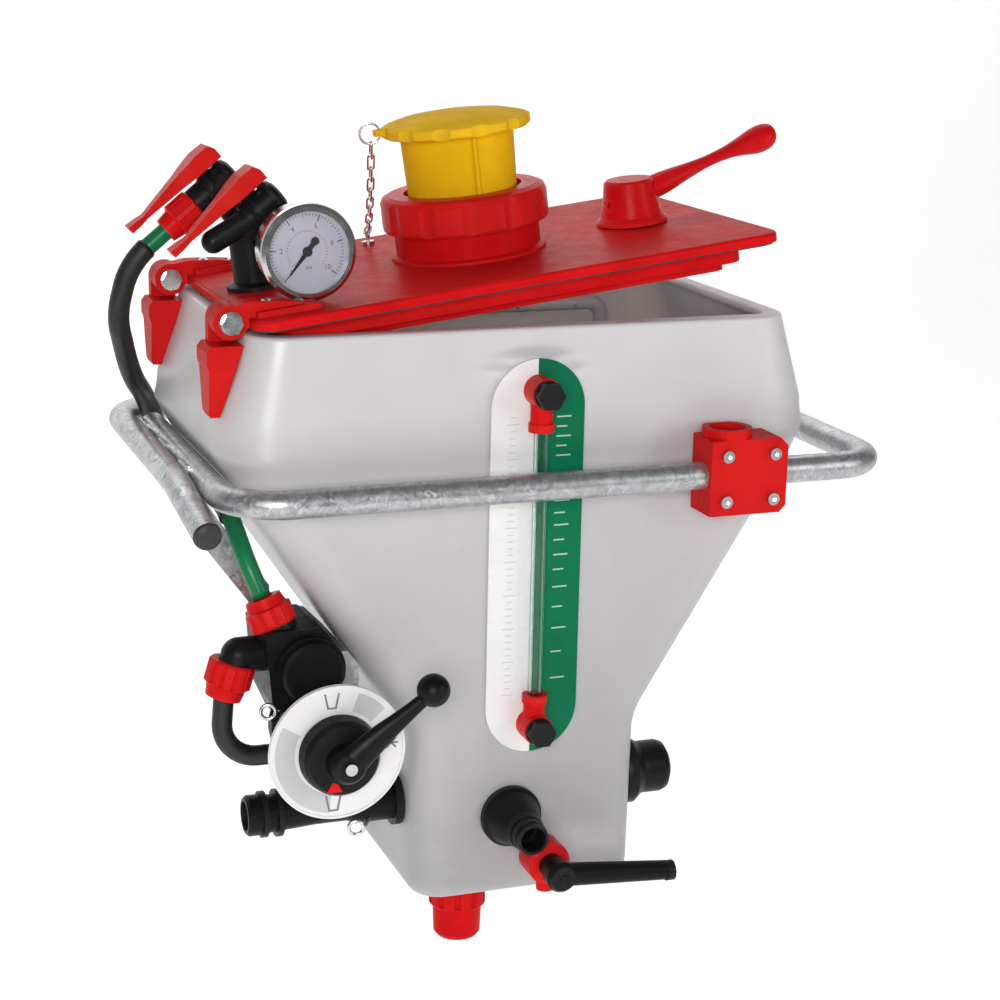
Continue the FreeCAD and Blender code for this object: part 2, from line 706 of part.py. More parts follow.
def chain_link(centre, along, across, length):
    """Long oval link of round wire."""
    half = 2.4
    reach = along * (length / 2 - half)
    out = across * half
    ends = [centre - reach - out, centre + reach - out, centre + reach + out, centre - reach + out]
    edges = [
        Part.LineSegment(ends[0], ends[1]).toShape(),
        Part.Arc(ends[1], centre + reach + along * half, ends[2]).toShape(),
        Part.LineSegment(ends[2], ends[3]).toShape(),
        Part.Arc(ends[3], centre - reach - along * half, ends[0]).toShape(),
    ]
    return sweep(Part.Wire(edges), 0.8)


def chain_point(number):
    """Joint between two links, on the curve in which the slack chain hangs."""
    t = number / LINK_COUNT
    return CHAIN_TOP + (CHAIN_END - CHAIN_TOP) * t - Z * (4 * CHAIN_SAG * t * (1 - t))


def chain():
    """Plain link chain from the cap's ring down to its eye on the lid."""
    links = []
    for number in range(LINK_COUNT):
        span = chain_point(number + 1) - chain_point(number)
        along = V(span).normalize()
        flat = along.cross(X).normalize()
        upright = along.cross(flat).normalize()
        centre = chain_point(number) + span * 0.5
        links.append(chain_link(centre, along, upright if number % 2 else flat, span.Length + 3.0))
    return group(links)


def chain_anchor():
    """Screwed eye on the lid for the lower end of the chain."""
    foot = V(-53, 95, 0)
    base = cyl(5, foot + Z * LID_TOP, foot + Z * 121.5)
    post = cyl(1.4, foot + Z * 121, foot + Z * 124.5)
    eye = Part.makeTorus(3.2, 1.1, foot + Z * 126.5, X)
    return fuse([base, post, eye])


# Latch --------------------------------------------------------------------------------------


def latch_lever():
    """Red hand lever with a round tapered hub, drawn pointing to the right."""
    hub = turned([(120, 27), (122, 27), (126, 23.5), (140, 20.5), (151, 19), (153, 17)],
                 V(LATCH_X, 0, 0), Z)
    stations = ((12, 142, 8.5, 9.5), (40, 149, 7.5, 8), (72, 158, 4.6, 5.2), (98, 164.5, 8, 9),
                (114, 167.5, 10.5, 11.5), (120, 168.4, 9, 10), (123.5, 168.8, 5, 6))
    wires = []
    for reach, z, half_z, half_y in stations:
        centre = V(LATCH_X + reach, 0, z)
        major = Y if half_y >= half_z else Z
        oval = Part.Ellipse(centre + major * max(half_y, half_z),
                            centre + (Z if major == Y else Y) * min(half_y, half_z), centre)
        wires.append(Part.Wire(oval.toShape()))
    arm = Part.makeLoft(wires, True, False)
    pin_hole = cyl(2, V(LATCH_X - 26, -8, 136), V(LATCH_X - 12, -4, 136))
    socket = cyl(SPINDLE_R, V(LATCH_X, 0, 110), V(LATCH_X, 0, 140))
    return cut(fuse([hub, arm]), [pin_hole, socket])


def latch_spindle():
    """Steel spindle with the latch blade, which points to the back while the lid is free."""
    spindle = cyl(SPINDLE_R, V(LATCH_X, 0, BLADE_LOW - 3), V(LATCH_X, 0, 140))
    blade = box(LATCH_X - 8, LATCH_X + 8, -8, 62, BLADE_LOW, BLADE_LOW + 5)
    step = box(LATCH_X - 8, LATCH_X + 8, 52, 62, BLADE_LOW + 5, 102.5)
    nut = hexagon(12, V(LATCH_X, 0, BLADE_LOW - 8), V(LATCH_X, 0, BLADE_LOW))
    return fuse([spindle, blade, step, nut])


def latch_bush():
    """Plastic bush in the lid, in which the spindle turns."""
    solid = turned([(104, 13), (107.5, 13), (107.5, 11), (119, 11), (119, 14), (119.6, 14)],
                   V(LATCH_X, 0, 0), Z)
    clear = cyl(SPINDLE_R + FIT, V(LATCH_X, 0, 90), V(LATCH_X, 0, 130))
    return solid.cut(clear)


# Valves and gauge on the lid ----------------------------------------------------------------


def valve_riser():
    """Black riser on the lid, with branches to the gauge and to both ball valves, and a closed
    branch that points down to the left."""
    foot = turned([(LID_TOP, 21), (122, 21), (124, 15), (158, 15), (164, 17), (172, 13), (174, 8)],
                  RISER, Z)
    stub = cyl(8.5, RISER_PORT + Z * 105, RISER_PORT + Z * (LID_TOP + 1))
    gauge_arm = cyl(11, V(GAUGE_X, -48, GAUGE_Z), V(GAUGE_X, -12, GAUGE_Z))
    elbow = cyl(11, V(GAUGE_X, RISER.y, GAUGE_Z), V(RISER.x, RISER.y, GAUGE_Z))
    knuckle = Part.makeSphere(11, V(GAUGE_X, RISER.y, GAUGE_Z))
    pipe_b = cyl(12, BALL_B + FLOW * 19, V(RISER.x - 3, -20, 166))
    pipe_a = cyl(10, V(-176, 24, 180), V(RISER.x, RISER.y, 162))
    cross = cyl(11, BALL_A + FLOW * -1 + V(0, -17.5, 0), V(-174, 20, 185))
    collar = ring(14.5, 8, V(GAUGE_X, -48, GAUGE_Z), V(GAUGE_X, -40, GAUGE_Z))
    back_nut = hexagon(24, RISER_PORT + Z * 105, RISER_PORT + Z * (LID_UNDER - 0.2))
    plug_end = BALL_B + FLOW * 47 + STEM * 5
    plug = [cyl(8.5, BALL_B + FLOW * 19, plug_end), Part.makeSphere(8.5, plug_end)]
    pipes = [gauge_arm, elbow, knuckle, pipe_b, pipe_a, cross, collar]
    solid = fuse([foot, stub, back_nut] + pipes + plug)
    return cut(solid, [cyl(15.8, BALL_B - FLOW * 12, BALL_B + FLOW * 19),
                       cyl(15.8, BALL_A - FLOW * 12, BALL_A + FLOW * 26)])


def valve_bodies():
    """Ball valve housings, each bored along the flow and up its stem."""
    bodies = []
    for ball, lower in ((BALL_A, 26), (BALL_B, 19)):
        profile = [(-11, 9), (-9, 12.5), (-6, 14), (12, 14), (15, 12), (lower, 12)]
        shell = turned(profile, ball, FLOW)
        ribs = [ring(15.5, 12, ball + FLOW * at, ball + FLOW * (at + 3)) for at in (-6, 8)]
        boss = cyl(9.5, ball, ball + STEM * STEM_TOP)
        holes = [cyl(7, ball + FLOW * -20, ball + FLOW * 30), Part.makeSphere(10.5, ball)]
        holes.append(cyl(4 + FIT, ball, ball + STEM * 20))
        bodies.append(cut(fuse([shell, boss] + ribs), holes))
    return group(bodies)


def valve_stem(ball):
    """Bored ball with its stem and a square end for the lever."""
    core = Part.makeSphere(10, ball).cut(cyl(6.5, ball - FLOW * 12, ball + FLOW * 12))
    stem = cyl(4, ball + STEM * 8.5, ball + STEM * 22)
    return fuse([core, stem])


def valve_lever(ball):
    """Side outline of the lever in the plane of flow and stem: deep hub, slim arm, flared tip."""
    base = ball + STEM * (STEM_TOP + 0.6)
    upper = ((-10, 11), (-7, 16), (4, 16.5), (16, 14.8), (46, 10), (61, 7.4), (67, 8.2))
    lower = ((LEVER_LENGTH, 3.4), (67, 3.4), (60, 3.9), (44, 3.7), (27, 3.5), (-10, 3.5))
    outline = list(upper) + [(LEVER_LENGTH, 8.8)] + list(lower)
    points = [base + FLOW * u + STEM * h - Y * 11 for u, h in outline]
    blank = Part.Face(Part.makePolygon(points + points[:1])).extrude(Y * 22)
    widths = ((-10, 11), (12, 11), (26, 7), (58, 5), (67, 7), (LEVER_LENGTH, 7.5))
    plan = [base + FLOW * u + Y * w for u, w in widths]
    plan += [base + FLOW * u - Y * w for u, w in reversed(widths)]
    mask = Part.Face(Part.makePolygon(plan + plan[:1])).extrude(STEM * 30)
    lever = blank.common(mask)
    return lever.cut(cyl(4, ball, ball + STEM * 22))


def hose_nut(centre, axis, radius, length, bore):
    """Ribbed union nut round a hose end."""
    half = axis * (length / 2)
    profile = [(0, radius - 1.5), (1.5, radius), (length * 0.62, radius)]
    profile += [(length * 0.68, radius - 2.5), (length, radius - 4)]
    body = turned(profile, centre - half, axis)
    side = axis.cross(Y if abs(axis.y) < 0.9 else X).normalize()
    other = axis.cross(side).normalize()
    grooves = []
    count = 12
    for step in range(count):
        turn = 2 * math.pi * step / count
        spot = centre + (side * math.cos(turn) + other * math.sin(turn)) * (radius + 0.5)
        grooves.append(cyl(1.5, spot - half - axis, spot + axis * (length * 0.12)))
    return cut(body, [cyl(bore, centre - half - axis, centre + half + axis), group(grooves)])


GAUGE_BACK_Y = -60.0


def gauge_axis(y):
    return V(GAUGE_X, y, GAUGE_Z)


def gauge_case():
    """Steel case with its crimped bezel, open at the front."""
    y0 = GAUGE_FACE_Y
    profile = [(0, 31), (1.5, GAUGE_R - 0.6), (3, GAUGE_R), (7, GAUGE_R), (8.5, 31.5)]
    profile += [(28, 31.5), (GAUGE_BACK_Y - y0, 29)]
    body = turned(profile, gauge_axis(y0), Y)
    window = cyl(28.4, gauge_axis(y0 - 1), gauge_axis(y0 + 8))
    inside = cyl(29.5, gauge_axis(y0 + 3), gauge_axis(GAUGE_BACK_Y - 1.5))
    stem_hole = cyl(6.6, gauge_axis(GAUGE_BACK_Y - 3), gauge_axis(GAUGE_BACK_Y + 1))
    return cut(body, [window, inside, stem_hole])


def gauge_dial():
    dial = cyl(29.3, gauge_axis(GAUGE_FACE_Y + 7), gauge_axis(GAUGE_FACE_Y + 8))
    return dial.cut(cyl(2.2, gauge_axis(GAUGE_FACE_Y + 5), gauge_axis(GAUGE_FACE_Y + 9)))


def gauge_glass():
    return cyl(29.3, gauge_axis(GAUGE_FACE_Y + 3.1), gauge_axis(GAUGE_FACE_Y + 4.6))


def gauge_pointer():
    """Pointer at zero, with its tail, hub and staff."""
    turn = math.radians(225)
    along = V(math.cos(turn), 0, math.sin(turn))
    side = V(-along.z, 0, along.x)
    y = GAUGE_FACE_Y + 5.6
    centre = gauge_axis(y)
    outline = [centre - along * 9 - side * 1.6, centre - side * 1.8, centre + along * 24]
    outline += [centre + side * 1.8, centre - along * 9 + side * 1.6]
    needle = Part.Face(Part.makePolygon(outline + outline[:1])).extrude(Y * 0.7)
    hub = cyl(3.4, gauge_axis(y - 0.3), gauge_axis(y + 0.9))
    tail = cyl(2.8, centre - along * 9, centre - along * 9 + Y * 0.7)
    staff = cyl(2.1, centre, gauge_axis(y + 12))
    return fuse([needle, hub, tail, staff])


def gauge_stem():
    """Brass connection with its hexagon and the tube that drives the pointer."""
    thread = cyl(6.5, gauge_axis(GAUGE_BACK_Y - 6), gauge_axis(-48))
    flats = hexagon(14, gauge_axis(GAUGE_BACK_Y + 0.4), gauge_axis(-52))
    return fuse([thread, flats])


# Sight gauge --------------------------------------------------------------------------------


def sight_plate(low_x, high_x):
    """One side of the scale plate, between two upright lines."""
    y0 = SUMP_FRONT_Y - 1.8
    y1 = SUMP_FRONT_Y - 0.2
    body = box(SIGHT_X - SIGHT_HALF, SIGHT_X + SIGHT_HALF, y0, y1, SIGHT_LOW, SIGHT_HIGH)
    ends = [cyl(SIGHT_HALF, V(SIGHT_X, y0, z), V(SIGHT_X, y1, z)) for z in (SIGHT_LOW, SIGHT_HIGH)]
    whole = fuse([body] + ends)
    side = whole.common(box(low_x, high_x, y0 - 1, y1 + 1, -300, 200))
    holes = [cyl(5.3, V(SIGHT_TUBE_X, -150, z), V(SIGHT_TUBE_X, -130, z)) for z in SIGHT_PORTS]
    return cut(side, holes)


def sight_tube():
    high = SIGHT_PORTS[0] - 22
    low = SIGHT_PORTS[1] + 19
    spot = V(SIGHT_TUBE_X, SIGHT_TUBE_Y, 0)
    return ring(5, 3.6, spot + Z * low, spot + Z * high)


def sight_elbows():
    """Red fittings at both ends of the sight tube."""
    elbows = []
    room = box(-40, 40, -200, SUMP_FRONT_Y - 1.9, -300, 200)
    for port, toward, reach in ((SIGHT_PORTS[0], -1, 28), (SIGHT_PORTS[1], 1, 25)):
        spigot = cyl(5.1, V(SIGHT_TUBE_X, -120, port), V(SIGHT_TUBE_X, -140, port))
        barrel = cyl(11, V(SIGHT_TUBE_X, -139.9, port), V(SIGHT_TUBE_X, -158, port))
        axis = V(SIGHT_TUBE_X, SIGHT_TUBE_Y, 0)
        end = port + toward * reach
        sleeve = port + toward * 17
        socket = cyl(8, axis + Z * port, axis + Z * end)
        rim = cyl(9.2, axis + Z * (end - toward * 6), axis + Z * end)
        body = fuse([spigot, barrel, fuse([socket, rim]).common(room)])
        bore = cyl(5.05, axis + Z * sleeve, axis + Z * (end + toward))
        way = cyl(3, V(SIGHT_TUBE_X, -110, port), V(SIGHT_TUBE_X, SIGHT_TUBE_Y - 1, port))
        drop = cyl(3.4, axis + Z * port, axis + Z * sleeve)
        elbows.append(cut(body, [bore, way, drop]))
    return group(elbows)


def sight_nuts():
    nuts = []
    for port in SIGHT_PORTS:
        skirt = cyl(10.2, V(SIGHT_TUBE_X, -158, port), V(SIGHT_TUBE_X, -160.5, port))
        hexa = hexagon(18, V(SIGHT_TUBE_X, -160.5, port), V(SIGHT_TUBE_X, -167, port))
        nuts.append(fuse([skirt, hexa]))
    return group(nuts)


# Selector valve and injector ----------------------------------------------------------------


def selector_axis(y):
    return V(SELECTOR_X, y, SELECTOR_Z)


def manifold_body():
    """Black manifold against the funnel's left side, with the selector valve's housing in front."""
    outline = [(-194, -101), (-188, -98), (-156, -98), (-150, -102), (-140.2, -117), (-140.2, -143.2)]
    outline += [(-127, -143.2), (-127, -166)]
    outline += [(-150, -178), (-180, -172), (-190, -150)]
    block = plate_xz(outline, -124, STRUT_Y - 0.3)
    neck = cyl(15, MANIFOLD_NUT, MANIFOLD_NUT - MANIFOLD_NUT_AXIS * 38)
    dome = turned([(0, 20), (2, 22.5), (8, 22.5), (8, 25), (14, 25)], V(-163, -138, -127), Y)
    barrel = turned([(0, 34), (4, 34), (6, 29), (50, 29), (54, 32), (64, 32), (70, 26)],
                    selector_axis(PLATE_Y + 3), Y)
    elbow = cyl(13, V(-190, MANIFOLD_Y, -120), V(-208, MANIFOLD_Y, -120))
    drop = cyl(13, V(-208, MANIFOLD_Y, -120), V(-212, MANIFOLD_Y, -133))
    corner = Part.makeSphere(13, V(-208, MANIFOLD_Y, -120))
    leg = cyl(13, V(SELECTOR_X, MANIFOLD_Y, -190), V(SELECTOR_X, MANIFOLD_Y, INJECTOR_Z + 16))
    side = cyl(10, V(-182, MANIFOLD_Y, -197), V(SELECTOR_X, MANIFOLD_Y, -197))
    body = fuse([block, neck, dome, barrel, elbow, drop, corner, leg, side])
    holes = [cyl(8.1, selector_axis(PLATE_Y - 1), selector_axis(PLATE_Y + 40))]
    holes.append(cyl(2.2, clip_pivot(0) + V(-20, 0, 0), clip_pivot(0) + V(30, 0, 0)))
    holes.append(cyl(7.3, clip_pivot(0) + V(-6.5, -7, 0), clip_pivot(0) + V(-6.5, 5, 0)))
    for nut, axis, reach in ((MANIFOLD_NUT, MANIFOLD_NUT_AXIS, 11), (ELBOW_NUT, ELBOW_NUT_AXIS, 13.5)):
        holes.append(cyl(17.3, nut - axis * reach, nut + axis * 40))
    return cut(body, holes)


def clip_pivot(number):
    """Where each retaining clip enters its fitting."""
    return V(-185, -118, -158) if number == 0 else V(-119, INJECTOR_Y - 19, INJECTOR_Z - 11.3)


def clip_reach(number):
    """How far each clip's wire runs into its fitting."""
    return V(16, 0, 0) if number == 0 else V(9, 11, 5)


def injector_pipe():
    """Injector pipe across the front left, from its quick coupling to the hopper's side."""
    profile = [(-204, 13), (-202, 15), (-193, 15), (-193, 17), (-189, 17), (-189, 14)]
    profile += [(-182, 14), (-182, 17.5), (-178, 17.5), (-178, 13.5), (-152, 12), (-128, 12), (-122, 15)]
    profile += [(-94, 14.5), (-94, 19), (-SUMP_HALF_X - 0.2, 19)]
    body = turned(profile, V(0, INJECTOR_Y, INJECTOR_Z), X)
    spigot = cyl(8.8, V(-90, INJECTOR_Y, INJECTOR_Z), V(-72, INJECTOR_Y, INJECTOR_Z))
    saddle = cyl(13, V(SELECTOR_X, INJECTOR_Y, INJECTOR_Z), V(SELECTOR_X, INJECTOR_Y, INJECTOR_Z + 15.8))
    bore = cyl(7, V(-206, INJECTOR_Y, INJECTOR_Z), V(-70, INJECTOR_Y, INJECTOR_Z))
    mouth = turned([(-205, 11), (-186, 9.5)], V(0, INJECTOR_Y, INJECTOR_Z), X)
    clip_hole = cyl(1.4, clip_pivot(1), clip_pivot(1) + clip_reach(1) * 1.1)
    return cut(fuse([body, spigot, saddle]), [bore, mouth, clip_hole])


def inlet_backnut():
    return hexagon(30, V(-81.8, INJECTOR_Y, INJECTOR_Z), V(-74, INJECTOR_Y, INJECTOR_Z)).cut(
        cyl(8.9, V(-90, INJECTOR_Y, INJECTOR_Z), V(-70, INJECTOR_Y, INJECTOR_Z)))


def retaining_clip(number):
    """Wire clip with its pull ring in front."""
    entry = clip_pivot(number)
    rod = cyl(1.3, entry, entry + clip_reach(number))
    hoop = Part.makeTorus(5.3, 1.4, entry + V(-6.5, 0, 0), V(0.2, 1, 0))
    return fuse([rod, hoop])


def selector_plate():
    """White dial plate of the selector, with a raised edge."""
    y = PLATE_Y
    disc = ring(PLATE_R, 10, V(SELECTOR_X, y, SELECTOR_Z), V(SELECTOR_X, y + 3, SELECTOR_Z))
    edge = ring(PLATE_R, PLATE_R - 1.6, V(SELECTOR_X, y - 0.8, SELECTOR_Z), V(SELECTOR_X, y, SELECTOR_Z))
    return fuse([disc, edge])


KNOB = V(-101.5, -215, -118)
SELECTOR_AIM = math.atan2(KNOB.z - SELECTOR_Z, KNOB.x - SELECTOR_X)


def selector_lever():
    """Hub, hand lever and ball knob in one moulding."""
    hub = turned([(0, 28), (2, 28.5), (11, 27), (15, 24.5), (17, 14)],
                 selector_axis(PLATE_Y - 1.2), V(0, -1, 0))
    boss = turned([(14, 13.5), (28, 12.5), (31, 10)], selector_axis(PLATE_Y - 1.2), V(0, -1, 0))
    aim = V(math.cos(SELECTOR_AIM), 0, math.sin(SELECTOR_AIM))
    across = V(-aim.z, 0, aim.x)
    length = math.hypot(KNOB.x - SELECTOR_X, KNOB.z - SELECTOR_Z)
    centre = selector_axis(KNOB.y + 10)
    stations = ((6, 11, 7.5, 0), (24, 9.2, 6.5, -1), (46, 6.5, 5, -5), (length - 6, 4.8, 4.4, -9.5))
    wires = []
    for reach, wide, deep, lean in stations:
        spot = centre + aim * reach + Y * lean
        oval = Part.Ellipse(spot + across * wide, spot + Y * deep, spot)
        wires.append(Part.Wire(oval.toShape()))
    arm = Part.makeLoft(wires, True, False)
    knob = Part.makeSphere(11.5, KNOB)
    stem = cyl(8, selector_axis(PLATE_Y + 30), selector_axis(PLATE_Y - 3))
    solid = fuse([hub, boss, arm, knob, stem])
    return cut(solid, [cyl(4.6, selector_axis(-208), selector_axis(-214)), selector_pointer()])


def selector_screw():
    return turned([(0, 4.5), (3.5, 4.5), (4.5, 3.4)], selector_axis(-208), V(0, -1, 0))


def selector_pointer():
    """Red arrow let into the hub, a quarter turn and more behind the lever."""
    y = PLATE_Y - 1.2 - 16.5
    x = SELECTOR_X
    z = SELECTOR_Z
    corners = [V(x - 12.5, y, z - 22), V(x - 7, y, z - 12), V(x - 1.5, y, z - 22)]
    return Part.Face(Part.makePolygon(corners + corners[:1])).extrude(Y * 6)


# Hoses --------------------------------------------------------------------------------------

NUT_A = BALL_A + FLOW * 41
HOSE_START = V(-209.1, 45, 173.8)
MANIFOLD_NUT = V(-186, MANIFOLD_Y, -90)
MANIFOLD_NUT_AXIS = V(-0.38, 0.28, 1).normalize()
ELBOW_NUT = V(-216, MANIFOLD_Y, -137)
ELBOW_NUT_AXIS = V(-0.3, 0, -1).normalize()


def feed_points():
    """Route of the feed hose: from the lid valve, through the ring's back left corner, along
    the funnel below the belt and down to the manifold."""
    return [
        HOSE_START,
        V(-252, 45, 138),
        V(-260, 56, 98),
        V(-245, 88, 48),
        V(-224, 132, 18),
        V(-204, 140, -46),
        V(-207, 60, -22),
        V(-205, -58, -23),
        MANIFOLD_NUT + MANIFOLD_NUT_AXIS * 37,
        MANIFOLD_NUT + MANIFOLD_NUT_AXIS * 12,
    ]


FEED_RADII = [50, 60, 120, 50, 30, 90, 48, 45]


def bypass_hose():
    start = ELBOW_NUT + ELBOW_NUT_AXIS * 13.5
    corner = V(start.x - 4, MANIFOLD_Y, -197)
    wire = path([start, corner, V(-182.3, MANIFOLD_Y, -197)], [26])
    return sweep(wire, HOSE_R).cut(sweep(wire, 5))


# Outlets ------------------------------------------------------------------------------------


def front_outlet():
    """Flanged cone with a hose tail, and a side neck that carries the sample cock."""
    start = V(OUTLET_X, SUMP_FRONT_Y, OUTLET_Z)
    profile = [(0.2, 23), (5, 23), (8, 20.5), (30, 14), (36.5, 13.2), (36.5, 12.5), (44, 12.5)]
    profile += [(46, 11.8), (SUMP_FRONT_Y - OUTLET_END_Y, 11.5)]
    body = turned(profile, start, V(0, -1, 0))
    spigot = cyl(9.8, V(OUTLET_X, SUMP_FRONT_Y, OUTLET_Z), V(OUTLET_X, -122, OUTLET_Z))
    neck = cyl(7.5, V(OUTLET_X, -166, OUTLET_Z), V(COCK_X - 4, -166, COCK_Z + 6))
    bore = cyl(7, V(OUTLET_X, OUTLET_END_Y - 1, OUTLET_Z), V(OUTLET_X, -120, OUTLET_Z))
    mouth = cyl(9.3, V(OUTLET_X, OUTLET_END_Y - 1, OUTLET_Z), V(OUTLET_X, -170, OUTLET_Z))
    keep_out = cyl(16, V(COCK_X, -185, COCK_Z), V(COCK_X, -150, COCK_Z))
    return cut(fuse([body, spigot, neck]), [bore, mouth, keep_out])


def front_backnut():
    nut = hexagon(30, V(OUTLET_X, -132.5, OUTLET_Z), V(OUTLET_X, -124, OUTLET_Z))
    return nut.cut(cyl(9.9, V(OUTLET_X, -135, OUTLET_Z), V(OUTLET_X, -120, OUTLET_Z)))


def cock_axis(y):
    return V(COCK_X, y, COCK_Z)


def cock_body():
    """Red body of the sample cock, with a spout below it."""
    body = turned([(0, 13), (2, 16), (22, 16), (25, 13)], cock_axis(-178), Y)
    spout = cyl(7, cock_axis(-165), V(COCK_X + 2, -165, COCK_Z - 24))
    bore = cyl(4.5, V(COCK_X, -165, COCK_Z), V(COCK_X + 3, -165, COCK_Z - 30))
    seat = cyl(6 + FIT, cock_axis(-180), cock_axis(-160))
    return cut(fuse([body, spout]), [bore, seat])


def cock_lever():
    """Black plug and hub with a tapered lever to the right."""
    plug = cyl(6, cock_axis(-186), cock_axis(-160.5))
    collar = cyl(9, cock_axis(-188), cock_axis(-178.6))
    hub = turned([(0, 10), (14, 11.5), (18, 9)], cock_axis(-187), V(0, -1, 0))
    tip = V(COCK_X + 87, -200, COCK_Z - 6)
    bar = Part.makeCone(8.6, 7, (tip - cock_axis(-196)).Length, cock_axis(-196), tip - cock_axis(-196))
    end = cyl(7.4, tip - V(6, 0, 0), tip)
    return cut(fuse([plug, collar, hub, bar, end]), [cyl(4, cock_axis(-206), cock_axis(-202))])


def cock_screw():
    return turned([(0, 3.9), (3, 3.9), (4.2, 2.6)], cock_axis(-202), V(0, -1, 0))


def side_port():
    """Capped port on the right of the sump."""
    start = V(SUMP_HALF_X, INJECTOR_Y, INJECTOR_Z + 2)
    profile = [(0.2, 25), (3, 26), (9, 26), (16, 20.5), (19, 20), (33, 20), (37, 18.5), (40, 13.5)]
    body = turned(profile, start, X)
    spigot = cyl(16.8, start, start - X * 16)
    return fuse([body, spigot]).cut(cyl(14, start - X * 20, start + X * 32))


def side_backnut():
    start = V(SUMP_HALF_X, INJECTOR_Y, INJECTOR_Z + 2)
    return hexagon(44, start - X * 14, start - X * 6.5).cut(cyl(16.9, start - X * 20, start))


def drain_axis(z):
    return V(DRAIN_X, DRAIN_Y, z)


def drain_neck():
    """Threaded neck under the sump."""
    body = turned([(0.2, 24), (6, 24), (6, 17.5), (34, 17.5)], drain_axis(FLOOR_Z), V(0, 0, -1))
    spigot = cyl(14.8, drain_axis(FLOOR_Z), drain_axis(FLOOR_Z + WALL + 4))
    return fuse([body, spigot]).cut(cyl(12, drain_axis(-360), drain_axis(-300)))


def drain_seal():
    return ring(17.3, 12.5, drain_axis(FLOOR_Z - 36), drain_axis(FLOOR_Z - 34))


def drain_cap():
    """Red screw cap with finger grips and a smaller hexagonal end."""
    top = FLOOR_Z - 16
    profile = [(0, 21), (1.5, 22), (24, 22), (27, 19), (48, 18.2), (51, 16)]
    body = turned(profile, drain_axis(top), V(0, 0, -1))
    inside = cyl(18, drain_axis(top + 1), drain_axis(FLOOR_Z - 36.4))
    grips = []
    for step in range(10):
        turn = 2 * math.pi * step / 10
        spot = V(DRAIN_X + 23.5 * math.cos(turn), DRAIN_Y + 23.5 * math.sin(turn), 0)
        grips.append(cyl(3, spot + Z * (top - 23), spot + Z * (top + 1)))
    return cut(body, [inside, group(grips)])


# Every part ---------------------------------------------------------------------------------

FIXED = {
    "hopper_shell": hopper_shell(),
    "sump_strainer": strainer(),
    "rinse_pipe": rinse_pipe(),
    "carrier_ring": carrier_ring(),
    "ring_end_plugs": ring_plugs(),
    "ring_straps": ring_brackets(),
    "manifold_strut": manifold_strut(),
    "clamp_front": clamp_block(CLAMP_FRONT_Y, RAIL_Y - 0.2),
    "clamp_back": clamp_block(RAIL_Y + 0.2, CLAMP_BACK_Y),
    "clamp_fasteners": group(clamp_screws() + clamp_nuts()),
    "hinge_brackets": hinge_brackets(),
    "hinge_fasteners": group(hinge_bolts() + hinge_washers() + hinge_nuts()),
    "sight_plate_white": sight_plate(-60, SIGHT_TUBE_X - 0.1),
    "sight_plate_green": sight_plate(SIGHT_TUBE_X + 0.1, 60),
    "sight_tube": sight_tube(),
    "sight_elbows": sight_elbows(),
    "sight_nuts": sight_nuts(),
    "manifold_body": manifold_body(),
    "injector_pipe": injector_pipe(),
    "retaining_clips": group([retaining_clip(0), retaining_clip(1)]),
    "selector_plate": selector_plate(),
    "selector_lever": group([selector_lever(), selector_screw()]),
    "selector_pointer": selector_pointer(),
    "manifold_nuts": group([
        hose_nut(MANIFOLD_NUT, MANIFOLD_NUT_AXIS, 17, 22, HOSE_R + 0.2),
        hose_nut(ELBOW_NUT, ELBOW_NUT_AXIS, 17, 27, HOSE_R + 0.2),
    ]),
    "feed_hose": hose(feed_points(), FEED_RADII, HOSE_R, 5),
    "bypass_hose": bypass_hose(),
    "front_outlet": front_outlet(),
    "port_backnuts": group([front_backnut(), inlet_backnut(), side_backnut()]),
    "cock_body": cock_body(),
    "cock_lever": group([cock_lever(), cock_screw()]),
    "side_port": side_port(),
    "drain_neck": drain_neck(),
    "drain_seal": drain_seal(),
    "drain_cap": drain_cap(),
}

ON_LID = {
    "lid_panel": lid_panel(),
    "lid_seals": group([lid_seal(), filler_seal()]),
    "lid_arms": lid_arms(),
    "arm_screws": arm_screws(),
    "filler_neck": filler_neck(),
    "ring_nut": ring_nut(),
    "filler_cap": filler_cap(),
    "cap_ring": cap_ring(),
    "cap_chain": chain(),
    "chain_eye": chain_anchor(),
    "latch_lever": latch_lever(),
    "latch_spindle": latch_spindle(),
    "latch_bush": latch_bush(),
    "valve_riser": valve_riser(),
    "valve_bodies": valve_bodies(),
    "valve_stem_back": valve_stem(BALL_A),
    "valve_stem_front": valve_stem(BALL_B),
    "valve_lever_back": valve_lever(BALL_A),
    "valve_lever_front": valve_lever(BALL_B),
    "valve_hose_nut": hose_nut(NUT_A, FLOW, 13.5, 29, HOSE_R + 0.2),
    "gauge_case": gauge_case(),
    "gauge_dial": gauge_dial(),
    "gauge_glass": gauge_glass(),
    "gauge_pointer": gauge_pointer(),
    "gauge_stem": gauge_stem(),
}

for part_name, part_shape in FIXED.items():
    save(part_name, part_shape)
for part_name, part_shape in ON_LID.items():
    save(part_name, on_lid(part_shape))

print("feed hose length", round(path(feed_points(), FEED_RADII).Length))
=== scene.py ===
"""Looks of the chemical induction hopper: materials, detailed skins, hoses, dials and studio."""

import json
import math

